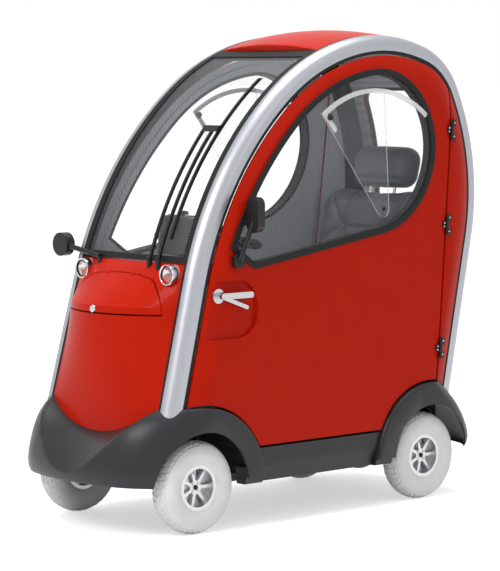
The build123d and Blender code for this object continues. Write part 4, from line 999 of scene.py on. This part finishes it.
disc = ((COWL_GLASS_R, 0.0), (COWL_GLASS_R, 0.0009), (COWL_GLASS_R - 0.001, GLASS_THICK))
lathe(work, disc, aimed(COWL_GLASS_AT, (0, 1, 0)), 40)
shape("cowl_mirror_glass", work, "chassis", "chrome", mirror_glass)
work = bmesh.new()
lathe(work, LOCK, aimed(LOCK_AT, (0, -1, 0)), 24)
shape("lid_lock", work, "front_lid", "chrome")
print("mirror glasses", 2)

# %% [markdown]
# ## Bin under the lid
# The lid in the cowl closes a shallow bin. It is an open tray with sloping sides; a Solidify modifier
# gives its sheet a thickness, so that its rim shows when the lid is up.

# %% Bin
BIN_HALF = 0.19
BIN_FRONT_HALF = 0.09
BIN_FRONT_Y, BIN_BACK_Y = -0.652, -0.505
BIN_FLOOR_Z, BIN_FRONT_Z, BIN_BACK_Z = 0.58, 0.7, 0.795
BIN_DRAFT = 0.012
BIN_WALL = 0.003
tray = bmesh.new()
floor_edge = BIN_HALF - BIN_DRAFT
front_edge = BIN_FRONT_HALF - BIN_DRAFT
low = [(-front_edge, BIN_FRONT_Y + BIN_DRAFT), (front_edge, BIN_FRONT_Y + BIN_DRAFT)]
low += [(floor_edge, BIN_BACK_Y - BIN_DRAFT), (-floor_edge, BIN_BACK_Y - BIN_DRAFT)]
high = [(-BIN_FRONT_HALF, BIN_FRONT_Y, BIN_FRONT_Z), (BIN_FRONT_HALF, BIN_FRONT_Y, BIN_FRONT_Z)]
high += [(BIN_HALF, BIN_BACK_Y, BIN_BACK_Z), (-BIN_HALF, BIN_BACK_Y, BIN_BACK_Z)]
base = [tray.verts.new((x, y, BIN_FLOOR_Z)) for x, y in low]
rim = [tray.verts.new(place) for place in high]
tray.faces.new(reversed(base))
bridge(tray, base, rim)
bin_piece = shape("compartment_bin", tray, "chassis", "black_plastic")
bin_wall = bin_piece.modifiers.new("wall", "SOLIDIFY")
bin_wall.thickness = BIN_WALL
print("bin depth", round(BIN_BACK_Z - BIN_FLOOR_Z, 3))

# %% [markdown]
# ## Window vents
# The clear vent in each door's window is a fan-shaped pane that turns about a knob at its foot. A soft
# milky track follows its upper edge to the window's rim. The pane is an outline on the cabin's leaning
# side with a thickness; the track is a strip that follows the same arc. Both have frosted edges.

# %% Vent panes, tracks and knobs
VENT_PIVOT = Vector((0.308, 1.026))
PANE_OUT = (0.0775, 0.0812)
TRACK_OUT = (0.0795, 0.086)
TRACK_WIDE = 0.0155
TRACK_DOWN = 0.085
FAN_FROM, FAN_TO, TRACK_TO = 131.0, 88.0, 56.0
ARC_STEP = 3.0
ARC_REACH, ARC_GROWTH = 0.39, 0.0445
FOOT_R = 0.029
FOOT_FROM, FOOT_TO = 221.0, 375.0
LATCH = ((0.011, 0.0), (0.011, 0.010), (0.009, 0.0125))
LATCH_DOWN, LATCH_IN = 0.03, 0.016
KNOB = ((0.0065, 0.0), (0.0065, 0.006), (0.005, 0.0075))
EDGE_FACING = 0.7


def frost_edges(work):
    """Gives a clear pane's narrow edges the second material, which makes its outline show."""
    for face in work.faces:
        if abs(face.normal.x) < EDGE_FACING:
            face.material_index = 1


def about_pivot(reach, turn):
    """Point at a distance from the vent's pivot, at an angle in degrees from the rear."""
    return VENT_PIVOT + reach * Vector((cos(radians(turn)), sin(radians(turn))))


def vent_arc(turn):
    """Point of the vent's upper edge; the edge draws in a little towards the window's rear."""
    return about_pivot(ARC_REACH + ARC_GROWTH * (turn - TRACK_TO) / (FAN_FROM - TRACK_TO), turn)


def between_turns(first, last):
    """Angles from the first to the last in even steps."""
    count = round(abs(last - first) / ARC_STEP)
    return [first + (last - first) * step / count for step in range(count + 1)]


def strip_solid(work, pairs, outs, side):
    """A strip between two lines on the cabin's side: pairs of points, and how far out it lies."""
    rings = []
    for outer, inner in pairs:
        corners = ((outer, outs[0]), (outer, outs[1]), (inner, outs[1]), (inner, outs[0]))
        rings.append([work.verts.new(side_at(at.x, at.y, out, side)) for at, out in corners])
    work.faces.new(rings[0])
    work.faces.new(reversed(rings[-1]))
    for first, last in zip(rings, rings[1:]):
        bridge(work, first, last)


outline = [vent_arc(turn) for turn in between_turns(FAN_FROM, FAN_TO)]
outline += [about_pivot(FOOT_R, turn) for turn in between_turns(FOOT_TO, FOOT_FROM)]
front_top = vent_arc(FAN_FROM)
down = (VENT_PIVOT - front_top).normalized()
inward = Vector((-down.y, down.x))
track_end = front_top + down * TRACK_DOWN
track = [(track_end, track_end + inward * TRACK_WIDE)]
for turn in between_turns(FAN_FROM, TRACK_TO):
    place = vent_arc(turn)
    step_in = (VENT_PIVOT - place).normalized()
    lead = (inward + step_in) if turn == FAN_FROM else step_in
    track.append((place, place + lead * TRACK_WIDE))
for hand, side in HANDS:
    body = f"{hand}_door"
    pane = bmesh.new()
    loops = [[pane.verts.new(side_at(at.x, at.y, out, side)) for at in outline] for out in PANE_OUT]
    pane.faces.new(loops[0])
    pane.faces.new(reversed(loops[1]))
    bridge(pane, loops[1], loops[0])
    pane.normal_update()
    frost_edges(pane)
    piece = shape(f"vent_pane_{hand}", pane, body, "clear_glass")
    piece.data.materials.append(vent_seal)
    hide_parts(f"door_vent_{hand}")
    work = bmesh.new()
    strip_solid(work, track, TRACK_OUT, side)
    shape(f"vent_track_{hand}", work, body, "clear_glass", vent_seal)
    work = bmesh.new()
    latch_at = front_top + down * LATCH_DOWN + inward * LATCH_IN
    for profile, at in ((LATCH, latch_at), (KNOB, VENT_PIVOT)):
        lathe(work, profile, aimed(side_at(at.x, at.y, PANE_OUT[1], side), (side, 0, 0)), 20)
    shape(f"vent_knobs_{hand}", work, body, "black_plastic")
print("vents", 2, "outline points", len(outline))

# %% [markdown]
# ## Tiller
# The tiller's head carries a speed dial, a key switch and a row of push buttons, and the handlebar is a
# round tube bent to a loop with soft grips. A bellows closes the gap round the column's foot.

# %% Handlebar and grips
TILLER_LEAN = radians(9.5)
TILLER_FOOT = Vector((0.0, -0.42, 0.172))
tiller_axes = Matrix(
    ((1, 0, 0), (0, cos(TILLER_LEAN), sin(TILLER_LEAN)), (0, -sin(TILLER_LEAN), cos(TILLER_LEAN)))
)
TILLER = Matrix.Translation(TILLER_FOOT) @ tiller_axes.to_4x4()
BAR_LIFT = 0.7806
BAR_R = 0.013
BAR_HALF = 0.202
BAR_DEEP = 0.164
BAR_BEND = 0.057


def loop_points(steps):
    """Middle line of the handlebar's loop in its own plane, a rectangle with round corners."""
    points = []
    far = BAR_DEEP - BAR_BEND
    for side, y, first in ((1, BAR_BEND, -90), (1, far, 0), (-1, far, 90), (-1, BAR_BEND, 180)):
        x = side * (BAR_HALF - BAR_BEND)
        for step in range(steps + 1):
            turn = radians(first + 90 * step / steps)
            points.append((x + BAR_BEND * cos(turn), y + BAR_BEND * sin(turn)))
    return points


curve = bpy.data.curves.new("loop_bar", "CURVE")
curve.dimensions = "3D"
curve.bevel_depth = BAR_R
curve.bevel_resolution = 5
line = curve.splines.new("POLY")
route = loop_points(8)
line.points.add(len(route) - 1)
for point, (x, y) in zip(line.points, route):
    point.co = (*(TILLER @ Vector((x, y + BAR_R, BAR_LIFT))), 1.0)
line.use_cyclic_u = True
sketch = bpy.data.objects.new("loop_bar", curve)
scene.collection.objects.link(sketch)
bar_mesh = made_mesh(sketch)
bpy.data.objects.remove(sketch)
for face in bar_mesh.polygons:
    face.use_smooth = True
bar = bpy.data.objects.new("loop_handlebar", bar_mesh)
slot = slot_of_node["handlebar"]
finish_piece(bar, "tiller", slot)
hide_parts("handlebar")

GRIP_RIBS, GRIP_PITCH, GRIP_FIRST = 9, 0.007, 0.006
GRIP_R, GROOVE_R, GRIP_BORE = 0.0172, 0.0156, 0.0146
GRIP_FROM = 0.058
grip = [(GRIP_BORE, 0.0), (GRIP_R, 0.002)]
for rib in range(GRIP_RIBS):
    at = GRIP_FIRST + rib * GRIP_PITCH
    grip += [(GRIP_R, at), (GROOVE_R, at + 0.0015), (GROOVE_R, at + 0.0035), (GRIP_R, at + 0.005)]
grip += [(0.0178, 0.07), (0.0178, 0.073), (GRIP_BORE, 0.0745)]
work = bmesh.new()
for side in (-1, 1):
    start = TILLER @ Vector((side * BAR_HALF, GRIP_FROM, BAR_LIFT))
    lathe(work, grip, aimed(start, tiller_axes @ Vector((0, 1, 0))), 24)
shape("bar_grips", work, "tiller", "black_rubber")
print("grips", 2)

# %% Controls on the tiller's head and the bellows round its foot
HEAD_TOP = 0.8456
PANEL_TOP = HEAD_TOP + 0.003
PANEL_HALF = (0.066, 0.04, 0.003)
PANEL_LIFT = HEAD_TOP + 0.001
PANEL_EDGE = 0.0025
DIAL_SKIRT = ((0.019, 0.0), (0.019, 0.006), (0.0165, 0.0075))
DIAL = DIAL_SKIRT + ((0.0155, 0.017), (0.014, 0.0185), (0.003, 0.0185))
DIAL_AT = (-0.034, 0.004)
KEY = ((0.012, 0.0), (0.012, 0.004), (0.0105, 0.0055), (0.006, 0.0055), (0.0055, 0.003))
KEY_AT = (0.04, 0.018)
PUSH = ((0.007, 0.0), (0.007, 0.003), (0.006, 0.0042), (0.002, 0.0045))
PUSH_AT = (0.008, -0.018)
PUSHES, PUSH_PITCH = 4, 0.016
BELLOWS_R, BELLOWS_TAPER, BELLOWS_VALLEY = 0.044, 0.0028, 0.009
BELLOWS_FOLDS, FOLD_PITCH = 6, 0.014


def on_panel(x, y):
    """Matrix that stands a control on the tiller's panel."""
    return TILLER @ Matrix.Translation((x, y, PANEL_TOP))


controls = soft_block(PANEL_HALF, PANEL_EDGE, 3, TILLER @ Matrix.Translation((0.0, 0.0, PANEL_LIFT)))
lathe(controls, DIAL, on_panel(*DIAL_AT), 24)
shape("tiller_panel", controls, "tiller", "black_plastic")
bright = bmesh.new()
lathe(bright, KEY, on_panel(*KEY_AT), 24)
for push in range(PUSHES):
    lathe(bright, PUSH, on_panel(PUSH_AT[0] + PUSH_PITCH * push, PUSH_AT[1]), 16)
shape("tiller_switches", bright, "tiller", "rim_silver")
bellows = [(0.0255, 0.0605)]
for fold in range(BELLOWS_FOLDS):
    wide = BELLOWS_R - BELLOWS_TAPER * fold
    rise = FOLD_PITCH * fold
    bellows += [(wide, 0.064 + rise), (wide, 0.067 + rise), (wide - BELLOWS_VALLEY, 0.072 + rise)]
bellows += [(0.0275, 0.152), (0.0255, 0.153)]
work = bmesh.new()
lathe(work, bellows, TILLER, 32)
shape("tiller_bellows", work, "tiller", "black_rubber")
print("controls", PUSHES + 2)

# %% [markdown]
# ## Floor mat
# A ribbed rubber mat covers the driver's floor. It is one thin sheet with a row of ribs on it, and the
# ribs are again copies of one shape on points.

# %% Mat
MAT_HALF = (0.27, 0.13, 0.002)
MAT_AT = Vector((0.0, -0.1, 0.1745))
MAT_EDGE = 0.0015
RIBS = 27
RIB_HALF = (0.0032, 0.118, 0.0015)
RIB_TAPER = 0.7
RIB_SPAN = 0.256
RIB_LIFT = 0.0028
mat = soft_block(MAT_HALF, MAT_EDGE, 2, Matrix.Translation(MAT_AT))
shape("floor_mat", mat, "chassis", "black_rubber")
rib_work = block(RIB_HALF)
for vert in rib_work.verts:
    vert.co.x *= RIB_TAPER if vert.co.z > 0 else 1.0
rib_shape = pattern("mat_rib", rib_work)
rows = []
for rib in range(RIBS):
    x = RIB_SPAN * (2 * rib / (RIBS - 1) - 1)
    rows.append((MAT_AT + Vector((x, 0.0, RIB_LIFT)), (0.0, 0.0, 1.0), 1.0))
put_heads("floor_mat_ribs", rows, "chassis", "black_rubber", rib_shape)
bpy.data.objects.remove(rib_shape)
print("mat ribs", RIBS)

# %% [markdown]
# ## The studio
# A pale floor and a white surround. The lamps are large and soft, and the room is dim at its walls and
# bright at its ceiling, so upper faces are lighter than the doors. The camera, gloss and glass see
# white.

# %% Floor
FLOOR_SIZE = 400.0
FLOOR_GLOW = 0.55


def white_rays(graph):
    """One for the rays that should meet a white room: from the camera, off gloss and through glass."""
    total = graph.node("ShaderNodeLightPath", out="Is Camera Ray")
    for ray in ("Is Glossy Ray", "Is Transmission Ray"):
        total = total.math("MAXIMUM", total, graph.node("ShaderNodeLightPath", out=ray))
    return total


floor_work = bmesh.new()
bmesh.ops.create_grid(floor_work, x_segments=1, y_segments=1, size=FLOOR_SIZE)
floor = bpy.data.objects.new("studio_floor", plain_mesh("studio_floor", floor_work))
scene.collection.objects.link(floor)
floor_finish = Finish("pale_floor", {"Base Color": (0.86, 0.86, 0.86, 1.0), "Roughness": 0.7})
seen = white_rays(floor_finish)
floor_finish.shader.inputs["Emission Strength"].default_value = FLOOR_GLOW
glow = floor_finish.node("ShaderNodeCombineXYZ", {}, {0: seen, 1: seen, 2: seen})
floor_finish.feed("Emission Color", glow)
floor.data.materials.append(floor_finish.material)
print("floor", FLOOR_SIZE * 2, "m wide")

# %% Surround and lamps
WALLS = 0.32
CEILING = 0.8
world = bpy.data.worlds.new("studio_surround")
world.use_nodes = True
scene.world = world
surround = Graph(world.node_tree)
rays = white_rays(surround)
aloft = surround.node("ShaderNodeTexCoord", out="Generated")
height = surround.node("ShaderNodeSeparateXYZ", {}, {0: aloft}, out="Z")
light = WALLS + (CEILING - WALLS) * height.math("MAXIMUM", height, 0.0)
background = world.node_tree.nodes["Background"]
background.inputs["Color"].default_value = (1.0, 1.0, 1.0, 1.0)
level = light.math("MAXIMUM", light, rays)
world.node_tree.links.new(level.socket, background.inputs["Strength"])
LAMPS = (  # name, place, aimed at, size, power
    ("key", (0.9, -5.4, 5.0), (0.0, -0.2, 0.7), 2.6, 210),
    ("side", (5.5, 1.5, 4.0), (0.0, 0.1, 0.7), 2.4, 14),
    ("top", (0.0, 0.5, 5.5), (0.0, 0.2, 1.0), 3.0, 150),
)
for name, place, aim, size, power in LAMPS:
    lamp_data = bpy.data.lights.new(name, "AREA")
    lamp_data.size = size
    lamp_data.energy = power
    lamp = bpy.data.objects.new(name, lamp_data)
    lamp.location = place
    lamp.rotation_euler = (Vector(aim) - Vector(place)).to_track_quat("-Z", "Y").to_euler()
    scene.collection.objects.link(lamp)
print("lamps", len(LAMPS))
